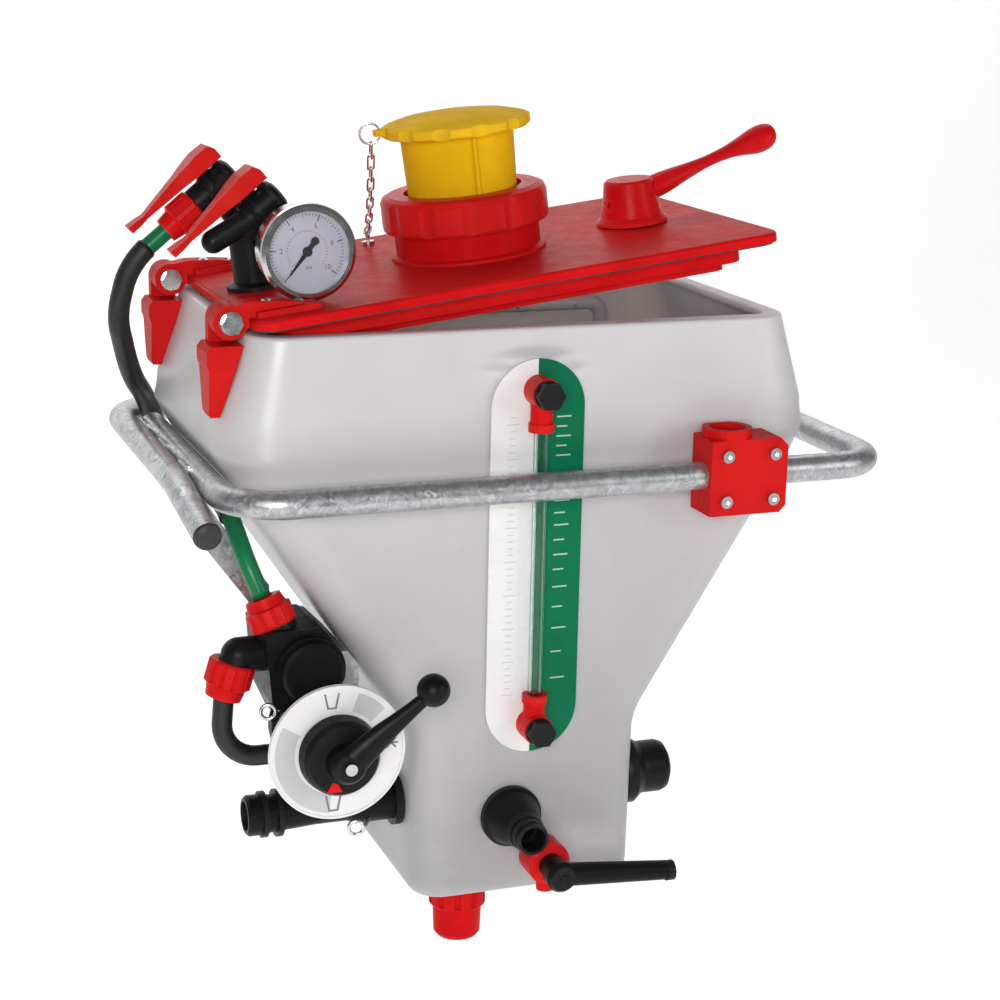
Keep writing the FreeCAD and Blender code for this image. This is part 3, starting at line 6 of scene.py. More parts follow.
import bmesh
import bpy
from mathutils import Matrix, Vector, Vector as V


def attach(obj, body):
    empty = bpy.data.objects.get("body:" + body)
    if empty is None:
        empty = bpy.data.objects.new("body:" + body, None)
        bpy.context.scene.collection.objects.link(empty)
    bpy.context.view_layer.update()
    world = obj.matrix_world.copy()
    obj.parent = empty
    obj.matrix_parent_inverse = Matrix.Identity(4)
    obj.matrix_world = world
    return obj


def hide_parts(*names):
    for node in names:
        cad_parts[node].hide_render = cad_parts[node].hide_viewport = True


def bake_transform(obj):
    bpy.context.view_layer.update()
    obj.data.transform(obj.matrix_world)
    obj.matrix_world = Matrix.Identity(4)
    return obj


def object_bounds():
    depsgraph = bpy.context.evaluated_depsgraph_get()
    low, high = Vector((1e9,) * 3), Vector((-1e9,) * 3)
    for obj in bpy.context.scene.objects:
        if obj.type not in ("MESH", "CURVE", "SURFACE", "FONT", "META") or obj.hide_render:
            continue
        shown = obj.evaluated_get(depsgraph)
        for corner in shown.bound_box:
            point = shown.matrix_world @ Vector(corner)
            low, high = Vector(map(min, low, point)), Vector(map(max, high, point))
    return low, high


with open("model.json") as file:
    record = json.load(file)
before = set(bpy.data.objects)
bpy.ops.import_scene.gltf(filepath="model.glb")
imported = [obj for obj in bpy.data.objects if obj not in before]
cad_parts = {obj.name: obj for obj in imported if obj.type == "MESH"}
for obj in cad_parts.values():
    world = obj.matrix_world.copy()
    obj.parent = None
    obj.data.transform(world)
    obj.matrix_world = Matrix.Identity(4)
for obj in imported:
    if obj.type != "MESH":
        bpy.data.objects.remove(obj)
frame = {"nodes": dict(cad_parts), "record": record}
cad_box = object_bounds()

nodes = frame["nodes"]
record = frame["record"]
joint = {j["name"]: j for j in record["behaviour"]["joints"]}

MM = 0.001
# hopper centre line in the row frame
OFFSET = V((0, 0.163, -0.004))
LID_REST = math.radians(7.4)
HINGE = V(joint["lid_hinge"]["pos_m"])


def at(x, y, z):
    """Point given in millimetres about the hopper's centre line, in the row frame."""
    return V((x * MM, y * MM, z * MM)) + OFFSET


TO_LID = Matrix.Translation(HINGE) @ Matrix.Rotation(LID_REST, 4, V((0, -1, 0)))
TO_LID = TO_LID @ Matrix.Translation(-HINGE)


def on_lid(x, y, z):
    """Point given with the lid shut, moved to where the lid rests."""
    return TO_LID @ at(x, y, z)


# Camera ---------------------------------------------------------------------------------------

def place_camera():
    """Camera to the front left, a little above the object and slightly rolled."""
    azimuth, elevation, roll = map(math.radians, (-19.8, 15.1, 1.0))
    back = V((math.sin(azimuth) * math.cos(elevation), -math.cos(azimuth) * math.cos(elevation),
              math.sin(elevation)))
    right = V((math.cos(azimuth), math.sin(azimuth), 0))
    up = back.cross(right)
    side = right * math.cos(roll) + up * math.sin(roll)
    top = up * math.cos(roll) - right * math.sin(roll)
    data = bpy.data.cameras.new("photo_camera")
    data.lens = 77.82
    data.sensor_width = 36.0
    data.shift_x = 0.0278
    data.shift_y = 0.0168
    data.clip_end = 30
    camera = bpy.data.objects.new("photo_camera", data)
    bpy.context.collection.objects.link(camera)
    rotation = Matrix((side, top, back)).transposed().to_4x4()
    camera.matrix_world = Matrix.Translation(V((-0.5449, -1.3543, 0.3707))) @ rotation
    bpy.context.scene.camera = camera


place_camera()


# Mesh helpers ---------------------------------------------------------------------------------

def new_object(name, verts, faces, material, body, smooth=True):
    mesh = bpy.data.meshes.new(name)
    mesh.from_pydata([tuple(v) for v in verts], [], faces)
    mesh.update()
    obj = bpy.data.objects.new(name, mesh)
    bpy.context.collection.objects.link(obj)
    mesh.materials.append(material)
    for polygon in mesh.polygons:
        polygon.use_smooth = smooth
    if body:
        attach(obj, body)
    return obj


def tidy_normals(obj):
    edit = bmesh.new()
    edit.from_mesh(obj.data)
    bmesh.ops.recalc_face_normals(edit, faces=edit.faces)
    edit.to_mesh(obj.data)
    edit.free()


def auto_smooth(obj, degrees):
    """Sharp edges above an angle, smooth below it."""
    limit = math.radians(degrees)
    edit = bmesh.new()
    edit.from_mesh(obj.data)
    for face in edit.faces:
        face.smooth = True
    for edge in edit.edges:
        if len(edge.link_faces) == 2:
            edge.smooth = edge.calc_face_angle(0) < limit
    edit.to_mesh(obj.data)
    edit.free()


def loft(name, loops, material, body):
    """Skin over loops of equal length; the ends are closed with flat caps."""
    count = len(loops[0])
    verts = [p for loop in loops for p in loop]
    faces = []
    for row in range(len(loops) - 1):
        base = row * count
        above = base + count
        for k in range(count):
            following = (k + 1) % count
            faces.append((base + k, base + following, above + following, above + k))
    faces.append(tuple(reversed(range(count))))
    faces.append(tuple(range((len(loops) - 1) * count, len(loops) * count)))
    obj = new_object(name, verts, faces, material, body)
    tidy_normals(obj)
    return obj


def circle(centre, side, other, radius, count):
    points = []
    for k in range(count):
        turn = 2 * math.pi * k / count
        points.append(centre + side * (radius * math.cos(turn)) + other * (radius * math.sin(turn)))
    return points


def basis(axis):
    axis = V(axis).normalized()
    hint = V((0, 0, 1)) if abs(axis.z) < 0.9 else V((1, 0, 0))
    side = axis.cross(hint).normalized()
    return axis, side, axis.cross(side)


def bend_path(points, radii, step=0.003):
    """Points along straight runs joined by tangent arcs."""
    line = [points[0].copy()]
    for number, radius in enumerate(radii):
        before, corner, after = points[number:number + 3]
        into = (corner - before).normalized()
        out = (after - corner).normalized()
        half = into.angle(out) / 2
        setback = radius * math.tan(half)
        first = corner - into * setback
        normal = into.cross(out).normalized()
        centre = first + normal.cross(into) * radius
        count = max(3, int(radius * half * 2 / step))
        for k in range(count + 1):
            turn = Matrix.Rotation(half * 2 * k / count, 3, normal)
            line.append(centre + turn @ (first - centre))
    line.append(points[-1].copy())
    dense = [line[0]]
    for point in line[1:]:
        gap = (point - dense[-1]).length
        if gap < 1e-6:
            continue
        pieces = max(1, int(gap / (step * 1.5)))
        start = dense[-1]
        for k in range(1, pieces + 1):
            dense.append(start.lerp(point, k / pieces))
    return dense


def frames_along(line):
    """Side vectors carried along a line without twist."""
    tangents = []
    for k in range(len(line)):
        ahead = line[min(k + 1, len(line) - 1)]
        behind = line[max(k - 1, 0)]
        tangents.append((ahead - behind).normalized())
    side = basis(tangents[0])[1]
    result = []
    for tangent in tangents:
        side = (side - tangent * side.dot(tangent)).normalized()
        result.append((side, tangent.cross(side)))
    return result


def swept(name, line, radius_at, material, body, count=28):
    """Round skin along a line; radius_at takes the distance run, in metres."""
    loops = []
    run = 0.0
    for k, (point, (side, other)) in enumerate(zip(line, frames_along(line))):
        if k:
            run += (point - line[k - 1]).length
        loops.append(circle(point, side, other, radius_at(run), count))
    return loft(name, loops, material, body)


def many_flat(name, outlines, thickness, to_place, material, body):
    """Several thin shapes as one object."""
    verts, faces = [], []
    for outline in outlines:
        base = len(verts)
        count = len(outline)
        verts += [to_place(u, v, 0) for u, v in outline]
        verts += [to_place(u, v, thickness) for u, v in outline]
        faces.append(tuple(base + k for k in reversed(range(count))))
        faces.append(tuple(base + count + k for k in range(count)))
        for k in range(count):
            following = (k + 1) % count
            faces.append((base + k, base + following, base + count + following, base + count + k))
    obj = new_object(name, verts, faces, material, body, smooth=False)
    tidy_normals(obj)
    return obj


def rectangle(u0, u1, v0, v1):
    return [(u0, v0), (u1, v0), (u1, v1), (u0, v1)]


# Materials ------------------------------------------------------------------------------------

def start_material(name):
    material = bpy.data.materials.new(name)
    material.use_nodes = True
    tree = material.node_tree
    shader = tree.nodes["Principled BSDF"]
    coords = tree.nodes.new("ShaderNodeTexCoord")
    return material, tree, shader, coords.outputs["Object"]


def noise(tree, coords, scale, detail=4.0, rough=0.55, stretch=None):
    if stretch:
        mapping = tree.nodes.new("ShaderNodeMapping")
        mapping.inputs["Scale"].default_value = stretch
        tree.links.new(coords, mapping.inputs["Vector"])
        coords = mapping.outputs["Vector"]
    node = tree.nodes.new("ShaderNodeTexNoise")
    node.inputs["Scale"].default_value = scale
    node.inputs["Detail"].default_value = detail
    node.inputs["Roughness"].default_value = rough
    tree.links.new(coords, node.inputs["Vector"])
    return node.outputs["Fac"]


def spread(tree, value, low, high, floor=0.0, ceiling=1.0):
    """Map a value's range onto another."""
    node = tree.nodes.new("ShaderNodeMapRange")
    node.inputs["From Min"].default_value = low
    node.inputs["From Max"].default_value = high
    node.inputs["To Min"].default_value = floor
    node.inputs["To Max"].default_value = ceiling
    tree.links.new(value, node.inputs["Value"])
    return node.outputs["Result"]


def blend_colours(tree, factor, first, second):
    node = tree.nodes.new("ShaderNodeMix")
    node.data_type = "RGBA"
    tree.links.new(factor, node.inputs["Factor"])
    for socket, colour in ((node.inputs["A"], first), (node.inputs["B"], second)):
        if isinstance(colour, tuple):
            socket.default_value = (*colour, 1)
        else:
            tree.links.new(colour, socket)
    return node.outputs["Result"]


def bump(tree, shader, height, strength, distance):
    node = tree.nodes.new("ShaderNodeBump")
    node.inputs["Strength"].default_value = strength
    node.inputs["Distance"].default_value = distance
    tree.links.new(height, node.inputs["Height"])
    previous = shader.inputs["Normal"].links
    if previous:
        tree.links.new(previous[0].from_socket, node.inputs["Normal"])
    tree.links.new(node.outputs["Normal"], shader.inputs["Normal"])


def convex_edge_wear_and_sheen(tree, amount):
    """Lighter along convex edges: a painted sheen, partly scuffed wear."""
    geometry = tree.nodes.new("ShaderNodeNewGeometry")
    return spread(tree, geometry.outputs["Pointiness"], 0.51, 0.58, 0.0, amount)


def moulded(name, colour, rough=0.36, grain=900, grain_depth=0.00006, vary=0.12, coat=0.0,
            sheen_and_wear=0.25, sheen_colour=None, gloss=0.3):
    """Moulded plastic: fine grain, flow marks, uneven gloss, and convex edges lightened partly by
    scuffs and partly by a painted sheen.
    """
    material, tree, shader, coords = start_material(name)
    darker = tuple(c * (1 - vary) for c in colour)
    lighter = tuple(min(1.0, c * (1 + vary) + 0.001) for c in colour)
    flow = spread(tree, noise(tree, coords, 22, 5), 0.3, 0.7)
    base = blend_colours(tree, flow, darker, lighter)
    # convex edges are lightened: a painted sheen standing in for edge highlights, partly scuffed
    # wear
    scuffed_sheen_colour = sheen_colour or tuple(min(1.0, c * 0.75 + 0.12) for c in colour)
    base = blend_colours(tree, convex_edge_wear_and_sheen(tree, sheen_and_wear), base, scuffed_sheen_colour)
    tree.links.new(base, shader.inputs["Base Color"])
    scuffs = noise(tree, coords, 70, 8, 0.7, (1, 1, 3))
    tree.links.new(spread(tree, scuffs, 0.3, 0.75, rough - 0.08, rough + 0.12),
                   shader.inputs["Roughness"])
    bump(tree, shader, noise(tree, coords, grain, 2), 0.35, grain_depth)
    bump(tree, shader, noise(tree, coords, 60, 3), 0.25, 0.00025)
    shader.inputs["Coat Weight"].default_value = coat
    shader.inputs["Coat Roughness"].default_value = 0.15
    shader.inputs["Specular IOR Level"].default_value = gloss
    return material


def polyethylene(name):
    """Rotomoulded natural polyethylene: milky, soft gloss, orange peel; painted shade darkens it
    lower down and a painted lit band brightens it above the belt.
    """
    material, tree, shader, coords = start_material(name)
    clouds = spread(tree, noise(tree, coords, 5.5, 4), 0.3, 0.7)
    # painted shade and light: darker colours low on the funnel, lighter ones high and above the
    # belt, standing in for light from above
    low = blend_colours(tree, clouds, (0.36, 0.35, 0.357), (0.42, 0.41, 0.417))
    high = blend_colours(tree, clouds, (0.51, 0.492, 0.50), (0.58, 0.562, 0.57))
    lit_upper_colour = blend_colours(tree, clouds, (0.62, 0.60, 0.61), (0.70, 0.68, 0.69))
    split = tree.nodes.new("ShaderNodeSeparateXYZ")
    tree.links.new(coords, split.inputs["Vector"])
    # painted shade darkens the funnel towards its foot; above the belt a painted lit band takes
    # over
    funnel = blend_colours(tree, spread(tree, split.outputs["Z"], -0.30, 0.0), low, high)
    base = blend_colours(tree, spread(tree, split.outputs["Z"], 0.01, 0.05), funnel, lit_upper_colour)
    dust = spread(tree, noise(tree, coords, 38, 9, 0.72), 0.55, 0.8, 0, 0.35)
    base = blend_colours(tree, dust, base, (0.64, 0.62, 0.60))
    tree.links.new(base, shader.inputs["Base Color"])
    tree.links.new(spread(tree, noise(tree, coords, 26, 6), 0.3, 0.7, 0.30, 0.46),
                   shader.inputs["Roughness"])
    shader.inputs["Subsurface Weight"].default_value = 0.55
    shader.inputs["Subsurface Radius"].default_value = (0.012, 0.011, 0.010)
    shader.inputs["Subsurface Scale"].default_value = 1.0
    shader.inputs["IOR"].default_value = 1.5
    bump(tree, shader, noise(tree, coords, 130, 3), 0.3, 0.0003)
    bump(tree, shader, noise(tree, coords, 9, 2), 0.3, 0.0015)
    return material


def galvanised(name, tint=1.0):
    """Zinc coating: spangle cells, dull patches and drawn streaks."""
    material, tree, shader, coords = start_material(name)
    cells = tree.nodes.new("ShaderNodeTexVoronoi")
    cells.inputs["Scale"].default_value = 240
    warp = tree.nodes.new("ShaderNodeMix")
    warp.data_type = "VECTOR"
    warp.inputs["Factor"].default_value = 0.03
    wobble = tree.nodes.new("ShaderNodeTexNoise")
    wobble.inputs["Scale"].default_value = 90
    tree.links.new(coords, wobble.inputs["Vector"])
    tree.links.new(coords, warp.inputs["A"])
    tree.links.new(wobble.outputs["Color"], warp.inputs["B"])
    tree.links.new(warp.outputs["Result"], cells.inputs["Vector"])
    split = tree.nodes.new("ShaderNodeSeparateColor")
    tree.links.new(cells.outputs["Color"], split.inputs["Color"])
    grey = blend_colours(tree, split.outputs["Red"], (0.36 * tint, 0.37 * tint, 0.385 * tint),
                         (0.62 * tint, 0.63 * tint, 0.645 * tint))
    patches = spread(tree, noise(tree, coords, 45, 6, 0.65), 0.42, 0.68, 0, 0.65)
    base = blend_colours(tree, patches, grey, (0.44, 0.44, 0.44))
    tree.links.new(base, shader.inputs["Base Color"])
    shader.inputs["Metallic"].default_value = 0.85
    tree.links.new(spread(tree, split.outputs["Green"], 0, 1, 0.30, 0.50),
                   shader.inputs["Roughness"])
    bump(tree, shader, noise(tree, coords, 420, 4), 0.3, 0.0001)
    bump(tree, shader, cells.outputs["Distance"], 0.15, 0.0001)
    return material


def bright_metal(name, colour, rough, streak=(1, 1, 1), depth=0.00004):
    material, tree, shader, coords = start_material(name)
    fine = noise(tree, coords, 900, 3, 0.5, streak)
    darker = tuple(c * 0.86 for c in colour)
    base = blend_colours(tree, spread(tree, fine, 0.3, 0.7), darker, colour)
    stains = spread(tree, noise(tree, coords, 60, 6), 0.55, 0.8, 0, 0.3)
    base = blend_colours(tree, stains, base, tuple(c * 0.6 for c in colour))
    tree.links.new(base, shader.inputs["Base Color"])
    shader.inputs["Metallic"].default_value = 1.0
    tree.links.new(spread(tree, noise(tree, coords, 120, 5), 0.3, 0.7, rough - 0.06, rough + 0.1),
                   shader.inputs["Roughness"])
    bump(tree, shader, fine, 0.3, depth)
    return material


def rubber(name, colour):
    material, tree, shader, coords = start_material(name)
    base = blend_colours(tree, spread(tree, noise(tree, coords, 90, 6), 0.3, 0.7),
                         tuple(c * 0.8 for c in colour), tuple(c * 1.25 + 0.002 for c in colour))
    bloom = spread(tree, noise(tree, coords, 30, 8, 0.7), 0.55, 0.8, 0, 0.3)
    base = blend_colours(tree, bloom, base, tuple(min(1, c + 0.015) for c in colour))
    tree.links.new(base, shader.inputs["Base Color"])
    tree.links.new(spread(tree, noise(tree, coords, 50, 6), 0.3, 0.7, 0.38, 0.6),
                   shader.inputs["Roughness"])
    bump(tree, shader, noise(tree, coords, 1500, 2), 0.4, 0.00008)
    return material


def clear(name, tint, rough):
    material, tree, shader, coords = start_material(name)
    base = blend_colours(tree, spread(tree, noise(tree, coords, 40, 3), 0.3, 0.7),
                         tint, tuple(min(1, c * 1.04) for c in tint))
    tree.links.new(base, shader.inputs["Base Color"])
    shader.inputs["Transmission Weight"].default_value = 1.0
    shader.inputs["IOR"].default_value = 1.3
    tree.links.new(spread(tree, noise(tree, coords, 30, 4), 0.3, 0.7, rough, rough + 0.05),
                   shader.inputs["Roughness"])
    return material


MAT = {
    "hopper": polyethylene("natural_polyethylene"),
    "red": moulded("red_moulding", (0.58, 0.006, 0.008), 0.36, sheen_and_wear=0.2,
                   sheen_colour=(0.66, 0.04, 0.03), gloss=0.03),
    "red_gloss": moulded("red_gloss_moulding", (0.62, 0.007, 0.009), 0.30, sheen_and_wear=0.2, gloss=0.06,
                         sheen_colour=(0.70, 0.05, 0.03)),
    "yellow": moulded("yellow_moulding", (0.84, 0.49, 0.008), 0.45, sheen_and_wear=0.2, gloss=0.01,
                      sheen_colour=(0.82, 0.52, 0.06)),
    "black": moulded("black_moulding", (0.006, 0.006, 0.0065), 0.38, sheen_and_wear=0.25,
                     sheen_colour=(0.035, 0.035, 0.037), gloss=0.14),
    "grey": moulded("grey_moulding", (0.30, 0.30, 0.31), 0.42),
    "zinc": galvanised("galvanised_steel"),
    "steel": bright_metal("stainless_steel", (0.66, 0.67, 0.69), 0.24),
    "bezel": bright_metal("polished_bezel", (0.66, 0.68, 0.69), 0.16),
    "wire": bright_metal("bright_wire", (0.80, 0.79, 0.76), 0.26),
    "brass": bright_metal("machined_brass", (0.62, 0.42, 0.16), 0.25),
    "white_print": moulded("white_label", (0.80, 0.79, 0.78), 0.30, sheen_and_wear=0.0, vary=0.03),
    "green_print": moulded("green_label", (0.003, 0.155, 0.068), 0.36, sheen_and_wear=0.0, vary=0.10,
                           gloss=0.1),
    "ink": moulded("dark_ink", (0.03, 0.03, 0.035), 0.5, sheen_and_wear=0.0),
    "pale_ink": moulded("pale_ink", (0.42, 0.60, 0.50), 0.5, sheen_and_wear=0.0),
    "grey_ink": moulded("grey_ink", (0.55, 0.55, 0.56), 0.45, sheen_and_wear=0.0, vary=0.03),
    "dial": moulded("dial_face", (0.62, 0.61, 0.69), 0.4, sheen_and_wear=0.0, vary=0.03),
    "dial_ink": moulded("dial_ink", (0.16, 0.15, 0.20), 0.5, sheen_and_wear=0.0),
    "icon_ink": moulded("icon_ink", (0.20, 0.21, 0.22), 0.5, sheen_and_wear=0.0),
    "rubber": rubber("black_rubber", (0.02, 0.02, 0.02)),
    "sleeve": rubber("hose_sleeve", (0.007, 0.010, 0.008)),
    "green_hose": moulded("green_hose", (0.006, 0.17, 0.06), 0.3, sheen_and_wear=0.0, vary=0.2),
    "tube": clear("sight_tube_clear", (0.80, 0.93, 0.88), 0.05),
    "glass": clear("gauge_window", (0.97, 0.98, 0.99), 0.01),
}

NODE_MATERIAL = {
    "sump_strainer": "steel", "rinse_pipe": "white_print", "carrier_ring": "zinc",
    "ring_end_plugs": "rubber", "ring_straps": "zinc", "manifold_strut": "zinc",
    "clamp_front": "red", "clamp_back": "red", "clamp_fasteners": "steel",
    "hinge_brackets": "red", "hinge_fasteners": "steel", "sight_plate_white": "white_print",
    "sight_plate_green": "green_print", "sight_tube": "tube", "sight_elbows": "red_gloss",
    "sight_nuts": "black", "manifold_body": "black", "injector_pipe": "black",
    "retaining_clips": "wire", "selector_plate": "white_print", "selector_lever": "black",
    "selector_pointer": "red_gloss", "manifold_nuts": "red_gloss", "front_outlet": "black",
    "port_backnuts": "grey", "cock_body": "red_gloss", "cock_lever": "black",
    "side_port": "black", "drain_neck": "black", "drain_seal": "rubber", "drain_cap": "red",
    "lid_panel": "red", "lid_seals": "rubber", "lid_arms": "red", "arm_screws": "steel",
    "filler_neck": "red", "ring_nut": "red_gloss", "filler_cap": "yellow", "cap_ring": "wire",
    "cap_chain": "wire", "chain_eye": "steel", "latch_lever": "red_gloss",
    "latch_spindle": "steel", "latch_bush": "black", "valve_riser": "black",
    "valve_bodies": "black", "valve_stem_back": "steel", "valve_stem_front": "steel",
    "valve_lever_back": "red_gloss", "valve_lever_front": "red_gloss",
    "valve_hose_nut": "red_gloss", "gauge_case": "bezel", "gauge_dial": "dial",
    "gauge_glass": "glass", "gauge_pointer": "ink", "gauge_stem": "brass",
}
EDGE_BREAK = {
    "clamp_front": 0.9, "clamp_back": 0.9, "hinge_brackets": 1.2, "lid_arms": 1.4,
    "ring_nut": 1.0, "filler_cap": 0.6, "drain_cap": 0.7, "manifold_body": 1.4,
    "valve_lever_back": 1.6, "valve_lever_front": 1.6, "injector_pipe": 0.6,
    "manifold_nuts": 0.5, "valve_hose_nut": 0.5, "sight_nuts": 0.6, "ring_straps": 0.5,
    "manifold_strut": 0.6, "hinge_fasteners": 0.4, "lid_panel": 0.5, "side_port": 0.6,
    "front_outlet": 0.5, "cock_lever": 0.6, "cock_body": 0.6, "valve_bodies": 0.5,
    "sight_elbows": 0.5,
}


def dress_nodes():
    """Give each carried-over node its material and broken edges."""
    for name, key in NODE_MATERIAL.items():
        obj = nodes[name]
        if not obj.material_slots:
            obj.data.materials.append(MAT[key])
        for material_slot in obj.material_slots:
            material_slot.link = "OBJECT"
            material_slot.material = MAT[key]
        if name in EDGE_BREAK:
            bevel = obj.modifiers.new("edge_break", "BEVEL")
            bevel.width = EDGE_BREAK[name] * MM
            bevel.segments = 3
            bevel.limit_method = "ANGLE"
            bevel.angle_limit = math.radians(38)
            bevel.harden_normals = True
            bevel.use_clamp_overlap = True


dress_nodes()


# Hopper skin ----------------------------------------------------------------------------------

RIM_Z, RIM_X, RIM_Y, RIM_R = 110.0, 202.0, 128.0, 28.0
BELT_Z, BELT_X, BELT_Y, BELT_R = 27.0, 228.0, 137.0, 42.0
KINK_Z, SUMP_X, SUMP_FRONT, SUMP_BACK, SUMP_R = -185.0, 88.0, -138.0, 60.0, 22.0
FLOOR_Z, WALL = -313.0, 5.0
SIDE_SLOPE = (BELT_X - SUMP_X) / (BELT_Z - KINK_Z)
BACK_SLOPE = (BELT_Y - SUMP_BACK) / (BELT_Z - KINK_Z)
BELT_ROUND, KINK_ROUND, HEEL = 20.0, 12.0, 11.0
PAD_X, PAD_HALF, PAD_TOP = -1.0, 39.0, 94.0


def smooth_step(t):
    t = min(1.0, max(0.0, t))
    return t * t * (3 - 2 * t)


def mix(a, b, t):
    return a + (b - a) * t


def hopper_section(z):
    """Half width, front, back and corner radius of the outside at a height."""
    if z >= KINK_Z:
        up = (z - BELT_Z) / (RIM_Z - BELT_Z)
        down = (BELT_Z - z) / (BELT_Z - KINK_Z)
        flare = (mix(BELT_X, RIM_X, up), -mix(BELT_Y, RIM_Y, up), mix(BELT_Y, RIM_Y, up),
                 mix(BELT_R, RIM_R, up))
        funnel = (mix(BELT_X, SUMP_X, down), SUMP_FRONT, mix(BELT_Y, SUMP_BACK, down),
                  mix(BELT_R, SUMP_R, down))
        blend_zone = (z - (BELT_Z - BELT_ROUND)) / (2 * BELT_ROUND)
        if blend_zone >= 1:
            return flare
        if blend_zone <= 0:
            values = list(funnel)
            near = (KINK_Z + KINK_ROUND - z) / (2 * KINK_ROUND)
            if near > 0:
                values[0] += SIDE_SLOPE * KINK_ROUND * near * near
                values[2] += BACK_SLOPE * KINK_ROUND * near * near
            return tuple(values)
        t = blend_zone
        dip = BELT_ROUND * (1 - (2 * t - 1) ** 2) / 2
        join = [mix(f, g, smooth_step(t)) for f, g in zip(funnel, flare)]
        join[0] = min(flare[0], funnel[0]) - dip * 0.24
        join[2] = min(flare[2], funnel[2]) - dip * 0.12
        join[1] = max(flare[1], funnel[1])
        return tuple(join)
    near = (z - (KINK_Z - KINK_ROUND)) / (2 * KINK_ROUND)
    push = SIDE_SLOPE * KINK_ROUND * near * near if near > 0 else 0.0
    push_back = BACK_SLOPE * KINK_ROUND * near * near if near > 0 else 0.0
    rise = z - FLOOR_Z
    shrink = HEEL - math.sqrt(max(0.0, HEEL ** 2 - (HEEL - rise) ** 2)) if rise < HEEL else 0.0
    taper = 1.5 * (KINK_Z - z) / (KINK_Z - FLOOR_Z)
    return (SUMP_X + push - taper - shrink, SUMP_FRONT + shrink, SUMP_BACK + push_back - shrink,
            SUMP_R - 0.4 * shrink)


def section_loop(z, inset=0.0, corner_steps=14, side_steps=26, drop=None):
    """Rounded rectangle as points, evenly cut along its sides; the front can stand out."""
    half, front, back, corner = hopper_section(z)
    half -= inset
    front += inset
    back -= inset
    corner = max(3.0, corner - inset)
    points = []
    corners = ((half - corner, back - corner, 0), (-half + corner, back - corner, 90),
               (-half + corner, front + corner, 180), (half - corner, front + corner, 270))
    for number, (cx, cy, begin) in enumerate(corners):
        for k in range(corner_steps + 1):
            turn = math.radians(begin + 90 * k / corner_steps)
            points.append([cx + corner * math.cos(turn), cy + corner * math.sin(turn)])
        nx, ny, nbegin = corners[(number + 1) % 4]
        turn = math.radians(nbegin)
        end = (nx + corner * math.cos(turn), ny + corner * math.sin(turn))
        start = points[-1]
        for k in range(1, side_steps):
            t = k / side_steps
            points.append([mix(start[0], end[0], t), mix(start[1], end[1], t)])
    if inset == 0.0 and z > BELT_Z - 30:
        for point in points:
            if point[1] < front + 12:
                x = abs(point[0] - PAD_X)
                crown = PAD_TOP - PAD_HALF
                reach = x if z < crown else math.hypot(x, z - crown)
                amount = smooth_step((PAD_HALF + 2.5 - reach) / 5.0)
                point[1] = mix(point[1], min(point[1], SUMP_FRONT), amount)
    return [at(x, y, z if drop is None else drop) for x, y in points]


def level_list():
    """Heights of the sections, from the floor up."""
    levels = [FLOOR_Z + HEEL * (1 - math.cos(math.radians(a))) for a in range(0, 91, 15)]
    levels += [z for z in range(-295, -197, 12)]
    levels += [z for z in range(-197, -172, 3)]
    levels += [z for z in range(-165, 5, 12)]
    levels += [z for z in range(5, 50, 3)]
    levels += [52 + 2.5 * k for k in range(20)]
    return [z for z in levels if z < RIM_Z - 3.5]


def build_hopper():
    """Closed skin: outside, rounded rim with its lip, inside."""
    outer = [section_loop(z) for z in level_list()]
    lip = []
    for degrees in range(0, 91, 18):
        turn = math.radians(degrees)
        z = RIM_Z - 3 + 3 * math.sin(turn)
        lip.append(section_loop(RIM_Z - 3, 3 * (1 - math.cos(turn)) + 0.01, drop=z))
    for inset, z in ((8, RIM_Z), (13, RIM_Z), (14.6, RIM_Z - 0.6), (15.6, RIM_Z - 2),
                     (15.8, RIM_Z - 3.6), (15.0, RIM_Z - 5), (12, RIM_Z - 5.4), (7, RIM_Z - 5.6),
                     (5.2, RIM_Z - 7)):
        lip.append(section_loop(RIM_Z - 3, inset, drop=z))
    inner = [section_loop(z, WALL) for z in reversed(level_list()) if z < RIM_Z - 9
             and z > FLOOR_Z + WALL + 8]
    for shrink, z in ((0.8, FLOOR_Z + WALL + 6), (3.5, FLOOR_Z + WALL + 2), (9, FLOOR_Z + WALL)):
        inner.append(section_loop(FLOOR_Z + 14, WALL + shrink, drop=z))
    hopper = loft("hopper_skin", outer + lip + inner, MAT["hopper"], "hopper")
    auto_smooth(hopper, 50)
    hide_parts("hopper_shell")


build_hopper()


# Hoses ----------------------------------------------------------------------------------------

NUT_AXIS = V((-0.38, 0.28, 1)).normalized()
NUT_SPOT = at(-186, -100, -90)


FEED_ROUTE = ((-209.1, 45, 173.8), (-252, 45, 138), (-260, 56, 98), (-245, 88, 48),
              (-224, 132, 18), (-204, 140, -46), (-207, 60, -22), (-205, -58, -23))
FEED_RADII = (50, 60, 120, 50, 30, 90, 48, 45)


def feed_line():
    """Centre line of the feed hose, from the lid valve's nut to the manifold's upper nut."""
    points = [at(*p) for p in FEED_ROUTE]
    points += [NUT_SPOT + NUT_AXIS * 0.037, NUT_SPOT + NUT_AXIS * 0.012]
    return bend_path(points, [r * MM for r in FEED_RADII], 0.0022)


def cut_line(line, start, end):
    """The part of a line between two distances run."""
    run = 0.0
    part = []
    for k, point in enumerate(line):
        if k:
            run += (point - line[k - 1]).length
        if start <= run <= end:
            part.append(point)
    return part


def line_length(line):
    return sum((b - a).length for a, b in zip(line, line[1:]))


